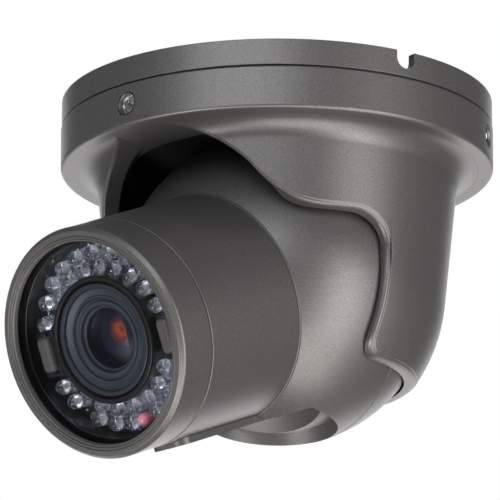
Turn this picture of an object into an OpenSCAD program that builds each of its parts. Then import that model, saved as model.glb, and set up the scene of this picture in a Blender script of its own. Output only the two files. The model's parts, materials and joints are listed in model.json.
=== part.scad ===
// Ceiling turret camera: a bullet-shaped camera head in a ball, carried by a swivelling cover.
// Millimetres.  The origin is the centre of the ceiling face, +Z is up towards the ceiling,
// and the camera looks along -Y and downwards.

/* [Base] */
// Diameter of the base ring at the ceiling
base_d = 145.5; // [144:0.5:146]
// Height of the base ring, ceiling face to seam
base_h = 8.75; // [8.5:0.05:9]
// Depth of the hollow in the back of the base, where the cable lies
back_depth = 6.3; // [6:0.1:6.4]
// Pitch circle of the ceiling screws
fixing_pcd = 110; // [104:1:114]
// Radius of the holes for the ceiling screws
fixing_hole_r = 2.75; // [2:0.25:3]
// Width of the cable notch in the rim
notch_w = 7.2; // [6:0.2:8]
// Direction of the cable notch, in degrees from the front towards +X
notch_angle = 79.3; // [70:0.1:90]
// Radius of the hole through the cable grommet
cable_r = 3.5; // [3:0.25:4]

/* [Turret cover] */
// Diameter of the cover's rim
cover_d = 146; // [146:0.5:147]
// Height of the ceiling face above the underside of the rim
underside_depth = 23.8; // [23.5:0.1:24.2]
// Wall of the rim and of the floor
cover_wall = 3; // [2.8:0.1:3.2]
// Height of the dark seam between the base and the cover
seam_gap = 0.6; // [0.5:0.05:0.8]
// Radius of the hole in the cover's floor, above the ball
floor_hole_r = 49.1; // [48:0.1:50]
// Radius of the cove between the rim's underside and the neck
cove_r = 7.5; // [6:0.1:8]
// Radius of the arch over the barrel
arch_r = 42.5; // [42.3:0.1:43]
// Distance of the cut's upright edge in front of the tilt axis
cut_front = 6.5; // [5:0.5:8]
// Height of the cut's shoulder above the tilt axis
cut_top = 12.5; // [11:0.5:14]
// Radius of the corner between the shoulder and the upright edge
cut_corner_r = 13; // [10:0.5:14]
// Depth of the cover's bottom edge below the tilt axis
cover_drop = 33; // [32:0.5:34]

/* [Ball] */
// Radius of the ball
ball_r = 53; // [53:0.05:53.1]
// Depth of the tilt axis below the ceiling face
ball_depth = 64.8; // [64.5:0.1:65]
// Wall of the ball's two shells
ball_wall = 3; // [2.8:0.1:3.2]
// Gap between the ball and its socket
ball_gap = 0.8; // [0.6:0.1:0.8]
// Radius of the finger pocket under the ball
pocket_r = 22.9; // [22:0.1:23]
// Tilt of the barrel below the horizontal
tilt_down = 23; // [0:1:67]

/* [Barrel] */
// Radius of the barrel
barrel_r = 38.8; // [38.6:0.1:38.8]
// Distance of the cap's seam from the tilt axis
cap_seam = 80.9; // [80.5:0.1:81.5]
// Distance of the front rim from the tilt axis
barrel_front = 96.5; // [96.5:0.1:97.5]
// Radius of the opening in the cap
cap_hole_r = 34; // [33.5:0.1:34.2]
// Half the width of the adjustment cover under the barrel
keel_half_w = 7.6; // [7:0.1:8]
// Distance of the adjustment cover's flat bottom from the barrel's axis
keel_drop = 40.5; // [40.3:0.1:40.8]

/* [Lens and lamps] */
// Diameter of an infrared lamp
led_d = 5; // [4.6:0.1:5]
// Radius of the outer ring of lamps
led_ring_outer = 28.8; // [28.8:0.1:29.2]
// Radius of the inner ring of lamps
led_ring_inner = 23.7; // [23.7:0.1:23.8]
// Radius of the front glass of the lens
lens_glass_r = 9.9; // [9:0.1:10]
// Radius of the lens barrel where the zoom and focus rings turn
lens_track_r = 15.5; // [15:0.1:15.6]

/* [Hidden] */

$fn = 96;
eps = 0.05;       // gap between two pieces that are screwed or glued together
run = 0.06;       // radial clearance of a running fit
body_grey = "#6f6a66";

// Base: the ring and plate, and below the seam the spigot that the cover turns on
base_r = base_d / 2;
skirt_wall = 3.25;
spigot_r = 69.4;
spigot_inner_r = 64.5;
spigot_bottom = 20;
screw_z = 16.3;                  // depth of the set screws below the ceiling face
groove_half = 2.1;
groove_r = 67;
grommet_y = 28;
grommet_r = 7;

// Cover: its bore, its socket for the ball, and the neck that slopes into the ball's sphere
cover_r = cover_d / 2;
cover_top = base_h + seam_gap;
cover_bore_r = cover_r - cover_wall;
socket_r = ball_r + ball_gap;
neck_sphere_r = 56.7;
neck_slope = 5.86;               // degrees from the vertical
neck_tangent_z = -neck_sphere_r * sin(neck_slope);
neck_tangent_r = neck_sphere_r * cos(neck_slope);
under_z = ball_depth - underside_depth;    // underside of the rim above the tilt axis
function neck_r(z) = neck_tangent_r + (z - neck_tangent_z) * tan(neck_slope);
clamp_inner_r = 30.1;
clamp_outer_r = 61;
clamp_h = 3.2;
friction_wire_r = 1.25;
stop_ring_r = 62.6;              // the post and the lug that end the pan travel
clamp_screw_r = 57.5;

// Head: distances L along the barrel from the tilt axis, v upwards from the barrel's axis
parting = 0.5;
ball_inner_r = ball_r - ball_wall;
flange_back = 23.5;
flange_front = 26;
flange_r = 42;
tube_inner_r = 36;
boss_ring_r = 44.5;              // screws that join the two shells
pivot_r = 3;
pivot_end = 55.2;
pocket_l = 23.9;
pocket_floor = keel_drop + 0.1;
pocket_step_r = 48.4;            // the pocket's raised back is a smaller sphere
step_arc_r = 45.5;
step_arc_l = 57;
keel_back = 33;
keel_front = 75;
slot_back = 46;
slot_front = 68;
keel_screw_l = [40.5, 71.6];
led_board_l = 79.4;
board_t = 1.6;
glass_front = 94.1;
glass_t = 3;
hood_inner_r = 19.5;
hood_outer_r = 21;
lens_front = 90.5;
bracket_l = 33;
zoom_l = [49, 56];
focus_l = [60, 67];
outer_arcs = [[27, 160, 10], [204, 217, 2], [240, 268, 3], [293, 326, 3]];
inner_arcs = [[16, 134, 8], [240, 325, 6]];
led_screw_angles = [12, 228.5];
collar_screw_angles = [20, 160, 200, 340];
main_board_l = -12;
power_board_l = -28;

// ---------------------------------------------------------------- helpers

// Ring with its lower face at z
module ring(outer, inner, z, h) {
    translate([0, 0, z]) difference() {
        cylinder(r = outer, h = h);
        translate([0, 0, -1]) cylinder(r = inner, h = h + 2);
    }
}

// Rounded rectangle of circles and squares, centred on the origin
module rounded_rect(w, l, r) {
    square([w - 2 * r, l], center = true);
    square([w, l - 2 * r], center = true);
    for (x = [-1, 1], y = [-1, 1]) translate([x * (w / 2 - r), y * (l / 2 - r)]) circle(r = r);
}

// Children turned to a direction around the vertical axis, 0 at the front and 90 at +X
module facing(angle) {
    rotate([0, 0, angle]) children();
}

// Head frame: x across, y up from the barrel's axis, z forwards along the barrel
module head() {
    translate([0, 0, -ball_depth]) rotate([90 + tilt_down, 0, 0]) children();
}

// Children around the barrel's axis, at each angle from the right-hand side
module around(radius, angles) {
    for (a = angles) rotate([0, 0, a]) translate([radius, 0, 0]) children();
}

// Screw with a pan head at z = 0 above its shank, and a cross recess
module pan_screw(shank_r, shank_l, head_r, head_h) {
    difference() {
        union() {
            translate([0, 0, -shank_l]) cylinder(r = shank_r, h = shank_l, $fn = 32);
            cylinder(r = head_r, h = head_h, $fn = 32);
        }
        for (a = [0, 90]) rotate([0, 0, a])
            translate([-head_r * 0.6, -0.3, head_h * 0.45]) cube([head_r * 1.2, 0.6, head_h]);
    }
}

function arc_angles(arcs) = [
    for (arc = arcs) for (i = [0:arc[2] - 1]) arc[0] + (arc[1] - arc[0]) * i / (arc[2] - 1)
];

// ---------------------------------------------------------------- base

module mount_base() {
    color(body_grey) difference() {
        union() {
            ring(base_r, base_r - skirt_wall, -base_h, base_h);
            translate([0, 0, -base_h]) cylinder(r = base_r - 1, h = base_h - back_depth);
            ring(spigot_r, spigot_inner_r, -spigot_bottom, spigot_bottom - base_h + 0.5);
            // central pad and screw pads reach the ceiling
            translate([0, 0, -base_h]) cylinder(r = 9, h = base_h);
            around(fixing_pcd / 2, [45:90:315]) translate([0, 0, -base_h]) cylinder(r = 6.5, h = base_h);
            // end stop of the pan travel
            translate([-2, -spigot_inner_r - 1, -19]) cube([4, 4.2, 19 - base_h + 0.5]);
        }
        around(fixing_pcd / 2, [45:90:315])
            translate([0, 0, -base_h - 1]) cylinder(r = fixing_hole_r, h = base_h + 2);
        translate([0, grommet_y, -base_h - 1]) cylinder(r = grommet_r, h = base_h + 2);
        // seat of the slip ring, and groove that the tips of the set screws run in
        ring(spigot_r + 1, 68.2 - eps, -12.4, 2.8);
        ring(spigot_r + 1, groove_r, -screw_z - groove_half, 2 * groove_half);
        // seat of the ceiling gasket
        ring(71.7 + eps, 70.5 - eps, -1 - eps, 2);
        cable_notch();
    }
}

module cable_notch() {
    facing(notch_angle) translate([0, -base_r, 0]) rotate([90, 0, 0]) {
        translate([0, -6 + notch_w / 2, -skirt_wall - 2]) cylinder(r = notch_w / 2, h = skirt_wall + 4);
        translate([-notch_w / 2, -6 + notch_w / 2, -skirt_wall - 2]) cube([notch_w, 6, skirt_wall + 4]);
    }
}

module ceiling_gasket() {
    color("#202020") difference() {
        ring(71.7, 70.5, -1, 1);
        cable_notch();
    }
}

module seam_gasket() {
    color("#161616") ring(72, 70.6, -base_h - seam_gap + 0.1, seam_gap - 0.1);
}

module pan_slip_ring() {
    color("#d8d4c8") ring(cover_bore_r - run, 68.2, -12.3, 2.6);
}

module cable_grommet() {
    color("#1c1c1c") translate([0, grommet_y, 0]) difference() {
        union() {
            ring(grommet_r - eps, cable_r, -10.5, 6);
            ring(9.2, cable_r, -10.5, 10.5 - base_h - eps);
            ring(9.2, cable_r, -back_depth + eps, 1.8);
        }
        translate([0, 0, -12]) cylinder(r = cable_r, h = 9);
    }
}

// ---------------------------------------------------------------- turret

// Half section of the cover, heights measured from the tilt axis
module cover_section() {
    difference() {
        union() {
            // rim, with its lower edge rounded
            translate([0, under_z]) square([cover_r - 1.2, ball_depth - cover_top - under_z]);
            translate([0, under_z + 1.2]) square([cover_r, ball_depth - cover_top - under_z - 1.2]);
            translate([cover_r - 1.2, under_z + 1.2]) circle(r = 1.2);
            // neck above its tangent point with the sphere, and the sphere below
            polygon([
                [0, neck_tangent_z], [neck_tangent_r - 0.02, neck_tangent_z],
                [neck_r(under_z), under_z], [0, under_z]
            ]);
            difference() {
                circle(r = neck_sphere_r, $fn = 180);
                translate([-100, -100]) square([100, 200]);
            }
            cove_section();
        }
        // bowl above the floor
        translate([-1, under_z + cover_wall]) square([cover_bore_r + 1, 60]);
        translate([-1, under_z - 1]) square([floor_hole_r + 1, 60]);
        translate([-1, 0]) square([socket_r + 1, under_z]);
        circle(r = socket_r, $fn = 180);
        translate([-1, -100]) square([101, 100 - cover_drop]);
    }
}

// Corner between the rim's underside and the neck, hollowed by the cove's circle
module cove_section() {
    centre_z = under_z - cove_r;
    centre_r = neck_r(centre_z) + cove_r / cos(neck_slope);
    difference() {
        polygon([
            [neck_r(centre_z - 1) - 1, centre_z - 1], [centre_r, centre_z - 1],
            [centre_r, under_z + 0.5], [neck_r(under_z) - 1, under_z + 0.5]
        ]);
        translate([centre_r, centre_z]) circle(r = cove_r);
        translate([neck_r(centre_z) + 0.2, centre_z - 2]) square([20, 2]);
    }
}

// Side outline of the part cut away in front of and below the ball: x forwards, y up
module cut_outline() {
    translate([cut_front + cut_corner_r, -80]) square([80, 80 + cut_top]);
    translate([cut_front, -80]) square([90, 80 + cut_top - cut_corner_r]);
    translate([cut_front + cut_corner_r, cut_top - cut_corner_r]) circle(r = cut_corner_r);
    // rounded end of the bottom edge
    difference() {
        translate([cut_front - 5, -cover_drop - 1]) square([6, 6]);
        translate([cut_front - 5, -cover_drop + 5]) circle(r = 5);
    }
}

module turret_cover() {
    color(body_grey) translate([0, 0, -ball_depth]) difference() {
        rotate_extrude($fn = 180) cover_section();
        // arch over the barrel, flush with the rim's underside
        intersection() {
            rotate([90, 0, 0]) cylinder(r = arch_r, h = 90, $fn = 180);
            translate([-50, -90, -50]) cube([100, 90, 50 + under_z]);
        }
        rotate([90, 0, -90]) translate([0, 0, -90]) linear_extrude(180) cut_outline();
        // threaded holes of the set screws
        for (a = [0, 120, 240]) facing(a) translate([0, 0, ball_depth - screw_z]) rotate([90, 0, 0]) {
            translate([0, 0, cover_bore_r - 1]) cylinder(r = 2.5, h = 6);
            translate([0, 0, cover_r - 0.9]) cylinder(r1 = 2.5, r2 = 3.6, h = 1);
        }
        // blind bores of the tilt pivots
        for (s = [-1, 1]) rotate([0, s * 90, 0]) translate([0, 0, 50]) cylinder(r = pivot_r + run, h = 5.6);
        around(clamp_screw_r, [45:90:315]) translate([0, 0, under_z - 3]) cylinder(r = 1.25, h = 20);
        translate([0, stop_ring_r, under_z + 0.8]) cylinder(r = 1.5, h = 20);
    }
}

module set_screws() {
    color("#b9babc") for (a = [0, 120, 240]) facing(a) translate([0, 0, -screw_z]) rotate([90, 0, 0])
        difference() {
            union() {
                translate([0, 0, cover_bore_r - 0.1]) cylinder(r = 2.5 - eps, h = 2.3);
                translate([0, 0, 67.4]) cylinder(r = 1.5, h = 3);
            }
            translate([0, 0, 70.4]) cylinder(r = 1.44, h = 3, $fn = 6);
        }
}

module ball_clamp_ring() {
    color("#1f1f20") translate([0, 0, -ball_depth]) difference() {
        ring(clamp_outer_r, clamp_inner_r, under_z + cover_wall, clamp_h);
        friction_seat(friction_wire_r + 2 * eps);
        around(clamp_screw_r, [45:90:315]) translate([0, 0, under_z]) cylinder(r = 1.6, h = 20);
    }
}

// Ring of rubber in the clamp ring's inner edge, a little above the ball's surface
module friction_seat(wire_r) {
    seat_z = under_z + cover_wall + clamp_h / 2;
    reach = ball_r + 0.35 + friction_wire_r;
    rotate_extrude() translate([sqrt(reach * reach - seat_z * seat_z), seat_z]) circle(r = wire_r, $fn = 32);
}

module friction_ring() {
    color("#101010") translate([0, 0, -ball_depth]) friction_seat(friction_wire_r);
}

module clamp_screws() {
    color("#a8a9ab") around(clamp_screw_r, [45:90:315])
        translate([0, 0, -underside_depth + cover_wall + clamp_h + eps]) pan_screw(1.2, 7.5, 2.6, 1.8);
}

module pan_stop_post() {
    color("#a8a9ab") translate([0, stop_ring_r, -underside_depth + 0.85]) cylinder(r = 1.45, h = 7.5);
}

// ---------------------------------------------------------------- ball

// Solid ball of radius r on one side of the parting plane
module half_ball(r, front) {
    difference() {
        sphere(r = r, $fn = 180);
        translate([-100, -100, front ? parting - 200 : parting]) cube([200, 200, 200]);
    }
}

// What both shells share: inner flange, screw bosses and halves of the pivot bosses
module shell_inside(front) {
    intersection() {
        half_ball(ball_r - 1, front);
        union() {
            ring(ball_r, 46.8, front ? parting : -3, front ? 3 : 3 + parting);
            around(boss_ring_r, [45:90:315])
                translate([0, 0, front ? parting : -45]) cylinder(r = 4.2, h = front ? 12 : 45 + parting);
            for (s = [-1, 1]) rotate([0, s * 90, 0]) translate([0, 0, 43.5]) cylinder(r = 6.5, h = 8);
        }
    }
}

module pivot_bores() {
    for (s = [-1, 1]) rotate([0, s * 90, 0]) translate([0, 0, 43]) cylinder(r = pivot_r + 0.02, h = 12);
}

// Finger pocket: flat floor in front, and a raised round back behind the step
module pocket_cut() {
    rotate([90, 0, 0]) intersection() {
        translate([0, pocket_l, pocket_floor]) cylinder(r = pocket_r, h = 20);
        translate([0, step_arc_l, pocket_floor - 1]) cylinder(r = step_arc_r, h = 22);
    }
    difference() {
        rotate([90, 0, 0]) translate([0, pocket_l, pocket_floor]) cylinder(r = pocket_r, h = 20);
        sphere(r = pocket_step_r, $fn = 180);
    }
}

module ball_front_shell() {
    color(body_grey) head() difference() {
        union() {
            difference() {
                half_ball(ball_r, true);
                sphere(r = ball_inner_r, $fn = 180);
            }
            shell_inside(true);
            // collar around the barrel
            intersection() {
                half_ball(ball_r - 1, true);
                translate([0, 0, flange_front + eps]) cylinder(r = flange_r + 0.2, h = 9);
            }
            // material behind the pocket
            intersection() {
                half_ball(ball_r - 1, true);
                rotate([90, 0, 0]) translate([0, pocket_l, 38.95]) cylinder(r = pocket_r + 2, h = 20);
            }
        }
        cylinder(r = barrel_r + eps, h = 60);
        translate([0, 0, -1]) cylinder(r = 38, h = 40);
        pocket_cut();
        pivot_bores();
        around(boss_ring_r, [45:90:315]) translate([0, 0, -1]) cylinder(r = 1.55, h = 11);
        around(40.5, collar_screw_angles) translate([0, 0, flange_front - 1]) cylinder(r = 1.25, h = 6);
        rotate([90, 0, 0]) translate([0, 0, 37.5]) linear_extrude(21) keel_outline(eps);
    }
}

module ball_rear_shell() {
    color(body_grey) head() difference() {
        union() {
            difference() {
                half_ball(ball_r, false);
                sphere(r = ball_inner_r, $fn = 180);
            }
            shell_inside(false);
            // posts for the boards
            intersection() {
                half_ball(ball_r - 1, false);
                around(34, [30:120:270]) translate([0, 0, -45]) cylinder(r = 3.2, h = 24);
            }
        }
        pivot_bores();
        // groove of the seal
        ring(49.5, 47.5, parting - 1, 2);
        around(boss_ring_r, [45:90:315]) {
            translate([0, 0, -20]) cylinder(r = 1.65, h = 30);
            translate([0, 0, -50]) cylinder(r = 2.95, h = 38);
        }
        around(34, [30:120:270]) translate([0, 0, -30]) cylinder(r = 1.25, h = 20);
        rotate([-135, 0, 0]) translate([0, 0, 40]) cylinder(r = 5, h = 20);
    }
}

module ball_seals() {
    color("#151515") head() difference() {
        ring(49.4, 47.6, parting - 0.95, 0.9);
        for (s = [-1, 1]) rotate([0, s * 90, 0]) translate([0, 0, 43]) cylinder(r = 6.6, h = 12);
    }
}

module ball_screws() {
    color("#a8a9ab") head() around(boss_ring_r, [45:90:315]) difference() {
        union() {
            translate([0, 0, -12 - eps]) cylinder(r = 1.5, h = 21, $fn = 32);
            translate([0, 0, -15]) cylinder(r = 2.75, h = 3 - eps, $fn = 32);
        }
        translate([0, 0, -16]) cylinder(r = 1.44, h = 2.8, $fn = 6);
    }
}

module tilt_pivots() {
    color("#b9babc") head() for (s = [-1, 1]) rotate([0, s * 90, 0]) {
        translate([0, 0, 43]) cylinder(r = pivot_r, h = pivot_end - 43);
        translate([0, 0, 41.4]) cylinder(r = 4.6, h = 2);
    }
}

module ball_grommet() {
    color("#1c1c1c") head() rotate([-135, 0, 0]) difference() {
        intersection() {
            union() {
                translate([0, 0, 46.5]) cylinder(r = 5 - eps, h = 8);
                translate([0, 0, 46.5]) cylinder(r = 6.6, h = 3);
            }
            sphere(r = ball_r - 0.3, $fn = 180);
        }
        translate([0, 0, 40]) cylinder(r = cable_r, h = 20);
    }
}

// ---------------------------------------------------------------- barrel

// Outline of the adjustment cover: rounded in front, square where it meets the ball
module keel_outline(grow) {
    translate([0, (keel_back + keel_front) / 2])
        rounded_rect(2 * (keel_half_w + grow), keel_front - keel_back + 2 * grow, 4);
    translate([-keel_half_w - grow, keel_back - grow]) square([2 * (keel_half_w + grow), 10]);
}

module slot_shape(grow) {
    translate([0, (slot_back + slot_front) / 2])
        rounded_rect(10.4 + 2 * grow, slot_front - slot_back + 2 * grow, 3 + grow);
}

module barrel_tube() {
    color(body_grey) head() difference() {
        union() {
            ring(barrel_r, tube_inner_r, flange_back, cap_seam - flange_back);
            ring(36.4, 33.9, cap_seam - 1, 6);
            ring(37.5, 29.8, led_board_l - 3.4, 3.4 - eps);
            ring(37.5, 32.5, bracket_l - 3, 3 - eps);
            ring(flange_r, tube_inner_r, flange_back, flange_front - flange_back);
        }
        // the flange and the wall keep clear of the finger pocket
        translate([-60, -60, 0]) cube([120, 60 - 38.85, 40]);
        rotate([90, 0, 0]) translate([0, 0, 30]) linear_extrude(12) slot_shape(0);
        rotate([90, 0, 0]) access_seat(0);
        rotate([90, 0, 0]) for (l = keel_screw_l) translate([0, l, 34]) cylinder(r = 1, h = 8);
        around(40.5, collar_screw_angles) translate([0, 0, 20]) cylinder(r = 1.5, h = 8);
        around(31.6, led_screw_angles) translate([0, 0, led_board_l - 5]) cylinder(r = 1.05, h = 6);
        around(34, [30:120:270]) translate([0, 0, bracket_l - 4]) cylinder(r = 1.05, h = 5);
        // groove of the cap's seal
        ring(38, 35.2, cap_seam + 1.6, 2);
    }
}

// Seat of the adjustment cover's gasket in the barrel's wall, gap g smaller
module access_seat(g) {
    intersection() {
        translate([0, 0, 30]) linear_extrude(12) difference() {
            slot_shape(1.6 - g);
            slot_shape(0.5 + g);
        }
        translate([0, 10, 0]) rotate([-90, 0, 0]) difference() {
            cylinder(r = 40, h = 80);
            translate([0, 0, -1]) cylinder(r = barrel_r - 0.8 + g, h = 82);
        }
    }
}

module barrel_screws() {
    color("#a8a9ab") head() around(40.5, collar_screw_angles)
        translate([0, 0, flange_back - eps]) mirror([0, 0, 1]) pan_screw(1.2, 6.5, 2.2, 1.5);
}

module access_cover() {
    color(body_grey) head() difference() {
        rotate([90, 0, 0]) translate([0, 0, 37]) linear_extrude(keel_drop - 37) keel_outline(0);
        translate([0, 0, 20]) cylinder(r = barrel_r + eps, h = 70);
        rotate([90, 0, 0]) for (l = keel_screw_l) translate([0, l, 30]) {
            cylinder(r = 1.3, h = 12);
            translate([0, 0, 9.6]) cylinder(r = 2.3, h = 3);
        }
    }
}

module access_gasket() {
    color("#151515") head() intersection() {
        rotate([90, 0, 0]) access_seat(eps);
        cylinder(r = barrel_r, h = 90);
    }
}

module access_screws() {
    color("#a8a9ab") head() rotate([90, 0, 0]) for (l = keel_screw_l)
        translate([0, l, 39.65]) pan_screw(0.95, 3.2, 2.2, 0.8);
}

module front_cap() {
    color(body_grey) head() rotate_extrude($fn = 180) difference() {
        polygon([
            [cap_hole_r, cap_seam + 0.2], [38.65, cap_seam + 0.2], [38.9, barrel_front - 1.3],
            [37.5, barrel_front], [cap_hole_r + 0.4, barrel_front], [cap_hole_r, barrel_front - 0.4]
        ]);
        translate([30, cap_seam - 1]) square([6.45, glass_front - cap_seam + 1]);
    }
}

module cap_o_ring() {
    color("#151515") head() ring(36.3, 35.25, cap_seam + 1.7, 1.8);
}

module window_glass() {
    color("#d9e2e6", 0.35) head() translate([0, 0, glass_front - glass_t])
        cylinder(r = 36.2, h = glass_t - eps);
}

module window_gasket() {
    color("#141414") head() ring(36.2, 33.6, glass_front - glass_t - 1, 1 - eps);
}

module window_retainer() {
    color("#2a2a2c") head() ring(36.35, 33.4, glass_front - glass_t - 3.6, 2.6 - eps);
}

// ---------------------------------------------------------------- lamps

module led_board() {
    color("#1b2230") head() difference() {
        ring(33.3, hood_inner_r + 0.1, led_board_l, board_t);
        around(31.6, led_screw_angles) translate([0, 0, led_board_l - 1]) cylinder(r = 1.2, h = 4);
    }
}

module led_board_screws() {
    color("#a8a9ab") head() around(31.6, led_screw_angles)
        translate([0, 0, led_board_l + board_t + eps]) pan_screw(1, 4, 1.5, 1.1);
}

module led_lamp() {
    r = led_d / 2;
    translate([0, 0, led_board_l + board_t]) {
        cylinder(r = r, h = 6.2, $fn = 40);
        translate([0, 0, 6.2]) difference() {
            sphere(r = r, $fn = 40);
            translate([-5, -5, -10]) cube([10, 10, 10]);
        }
    }
}

module outer_leds() {
    color("#c9ced6") head() around(led_ring_outer, arc_angles(outer_arcs)) led_lamp();
}

module inner_leds() {
    color("#c9ced6") head() around(led_ring_inner, arc_angles(inner_arcs)) led_lamp();
}

module light_sensor() {
    color("#c4505c") head() around(led_ring_outer + 0.2, [278]) translate([0, 0, led_board_l + board_t]) {
        cylinder(r = 2.2, h = 6.4, $fn = 40);
        translate([0, 0, 6.4]) difference() {
            sphere(r = 2.2, $fn = 40);
            translate([-5, -5, -10]) cube([10, 10, 10]);
        }
    }
}

module board_spacers() {
    color("#453e3b") head() for (place = [[-27, 0], [26, -4]])
        translate([place[0], place[1], led_board_l + board_t]) linear_extrude(9.4) rounded_rect(6.4, 13.4, 2.2);
}

module lens_hood() {
    color("#0e0e10") head() ring(hood_outer_r, hood_inner_r, led_board_l + board_t, 10);
}

// ---------------------------------------------------------------- lens

module lens_barrel() {
    color("#1d1f23") head() rotate_extrude() polygon([
        [7, 38], [12, 38], [12, 44], [lens_track_r, 44], [lens_track_r, 57], [18.4, 57], [18.4, 59],
        [lens_track_r, 59], [lens_track_r, 68], [18.6, 68], [18.6, 78], [18.9, 78], [18.9, lens_front],
        [17.6, lens_front], [16.6, 89.4], [14.6, 89.4], [13.4, 88.4], [lens_glass_r + 0.9, 88.4],
        [lens_glass_r + 0.1, 87.6], [lens_glass_r + 0.1, 83], [8.6, 83], [8.6, 66.1], [9.8, 66.1],
        [9.8, 61.9], [8.6, 61.9], [8.6, 46], [8.1, 46], [8.1, 39.5], [7, 39.5]
    ]);
}

module front_element() {
    color("#35323f", 0.6) head() intersection() {
        translate([0, 0, 83.1]) cylinder(r = lens_glass_r, h = 8);
        translate([0, 0, 88.9 - 26]) sphere(r = 26, $fn = 120);
    }
}

module iris_unit() {
    color("#111214") head() ring(9.7, 3.2, 62, 4);
}

module rear_element() {
    color("#35323f", 0.6) head() intersection() {
        translate([0, 0, 39.6]) cylinder(r = 8, h = 6);
        translate([0, 0, 44.6 - 18]) sphere(r = 18, $fn = 120);
    }
}

// Adjusting ring of the lens, with the hole for its lock screw
module lens_ring(span) {
    head() difference() {
        ring(18.4, lens_track_r + run, span[0], span[1] - span[0]);
        rotate([90, 0, 0]) translate([0, (span[0] + span[1]) / 2, 10]) cylinder(r = 1.3, h = 12);
        around(18.7, [0:12:348]) translate([0, 0, span[0] - 1]) cylinder(r = 0.5, h = 9, $fn = 16);
    }
}

// Lock screw of an adjusting ring: shank in the ring, knob towards the adjustment slot
module lock_screw(l) {
    head() rotate([90, 0, 0]) translate([0, l, 0]) {
        translate([0, 0, 16.2]) cylinder(r = 1.25, h = 8, $fn = 32);
        translate([0, 0, 24]) cylinder(r = 2.8, h = 6, $fn = 32);
    }
}

module zoom_ring() {
    color("#26282c") lens_ring(zoom_l);
}

module zoom_lock_screw() {
    color("#8f9194") lock_screw((zoom_l[0] + zoom_l[1]) / 2);
}

module focus_ring() {
    color("#26282c") lens_ring(focus_l);
}

module focus_lock_screw() {
    color("#8f9194") lock_screw((focus_l[0] + focus_l[1]) / 2);
}

// ---------------------------------------------------------------- electronics

module lens_bracket() {
    color("#2e2f31") head() difference() {
        union() {
            ring(35.8, 8, bracket_l, 2);
            ring(16, 8, bracket_l, 10.9);
        }
        translate([0, 0, 37.9]) cylinder(r = 12 + eps, h = 10);
        around(34, [30:120:270]) translate([0, 0, bracket_l - 1]) cylinder(r = 1.2, h = 4);
        for (x = [-1, 1], y = [-1, 1]) translate([x * 14.5, y * 14.5, bracket_l - 1]) cylinder(r = 1, h = 4);
    }
}

module bracket_screws() {
    color("#a8a9ab") head() around(34, [30:120:270])
        translate([0, 0, bracket_l + 2 + eps]) pan_screw(1, 4.5, 1.7, 1.2);
}

module sensor_board() {
    color("#1d4a33") head() translate([0, 0, bracket_l - 6]) linear_extrude(board_t)
        rounded_rect(36, 36, 1.5);
}

module image_sensor() {
    color("#2b2c33") head() translate([-6, -5, bracket_l - 6 + board_t]) cube([12, 10, 2.2]);
}

module sensor_standoffs() {
    color("#b08d4a") head() for (x = [-1, 1], y = [-1, 1])
        translate([x * 14.5, y * 14.5, bracket_l - 6 + board_t]) difference() {
            cylinder(r = 2.2, h = 6 - board_t - eps);
            translate([0, 0, -1]) cylinder(r = 0.9, h = 8);
        }
}

module main_board() {
    color("#1d4a33") head() difference() {
        translate([0, 0, main_board_l]) cylinder(r = 39.5, h = board_t);
        around(34, [30:120:270]) translate([0, 0, main_board_l - 1]) cylinder(r = 1.3, h = 4);
    }
}

module video_chip() {
    color("#18191b") head() translate([-8, -8, main_board_l + board_t]) cube([16, 16, 1.6]);
}

module power_board() {
    color("#1d4a33") head() difference() {
        translate([0, 0, power_board_l]) cylinder(r = 29, h = board_t);
        around(25, [45:90:315]) translate([0, 0, power_board_l - 1]) cylinder(r = 1.2, h = 4);
    }
}

module power_capacitors() {
    color("#20242c") head() for (x = [-12, 0, 12])
        translate([x, 4, power_board_l + board_t]) cylinder(r = 4, h = 10);
}

module board_standoffs() {
    color("#b08d4a") head() {
        around(34, [30:120:270]) translate([0, 0, -21 + eps]) difference() {
            cylinder(r = 2.5, h = 9 - 2 * eps);
            translate([0, 0, -1]) cylinder(r = 1.2, h = 12);
        }
        around(25, [45:90:315]) translate([0, 0, power_board_l + board_t]) difference() {
            cylinder(r = 2.2, h = main_board_l - power_board_l - board_t);
            translate([0, 0, -1]) cylinder(r = 1, h = 20);
        }
    }
}

// ---------------------------------------------------------------- nodes

mount_base();
ceiling_gasket();
seam_gasket();
pan_slip_ring();
cable_grommet();
turret_cover();
set_screws();
ball_clamp_ring();
friction_ring();
clamp_screws();
pan_stop_post();
ball_front_shell();
ball_rear_shell();
ball_seals();
ball_screws();
tilt_pivots();
ball_grommet();
barrel_tube();
barrel_screws();
access_cover();
access_gasket();
access_screws();
front_cap();
cap_o_ring();
window_glass();
window_gasket();
window_retainer();
led_board();
led_board_screws();
outer_leds();
inner_leds();
light_sensor();
board_spacers();
lens_hood();
lens_barrel();
front_element();
iris_unit();
rear_element();
lens_bracket();
bracket_screws();
sensor_board();
image_sensor();
sensor_standoffs();
main_board();
video_chip();
power_board();
power_capacitors();
board_standoffs();
zoom_ring();
zoom_lock_screw();
focus_ring();
focus_lock_screw();
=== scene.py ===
"""Looks of a ceiling turret camera: base ring, swivelling cover, ball, barrel with lamps and lens.

Every piece is a surface worked out in millimetres and written to its mesh in metres, in the frame's own
coordinates.  The cover's shapes are measured from the tilt axis with z up, the head's shapes in its own
frame: x across, y up from the barrel's axis, z forwards along the barrel.
"""
import json
import math

import bpy
import numpy as np
from mathutils import Matrix, Vector


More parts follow.
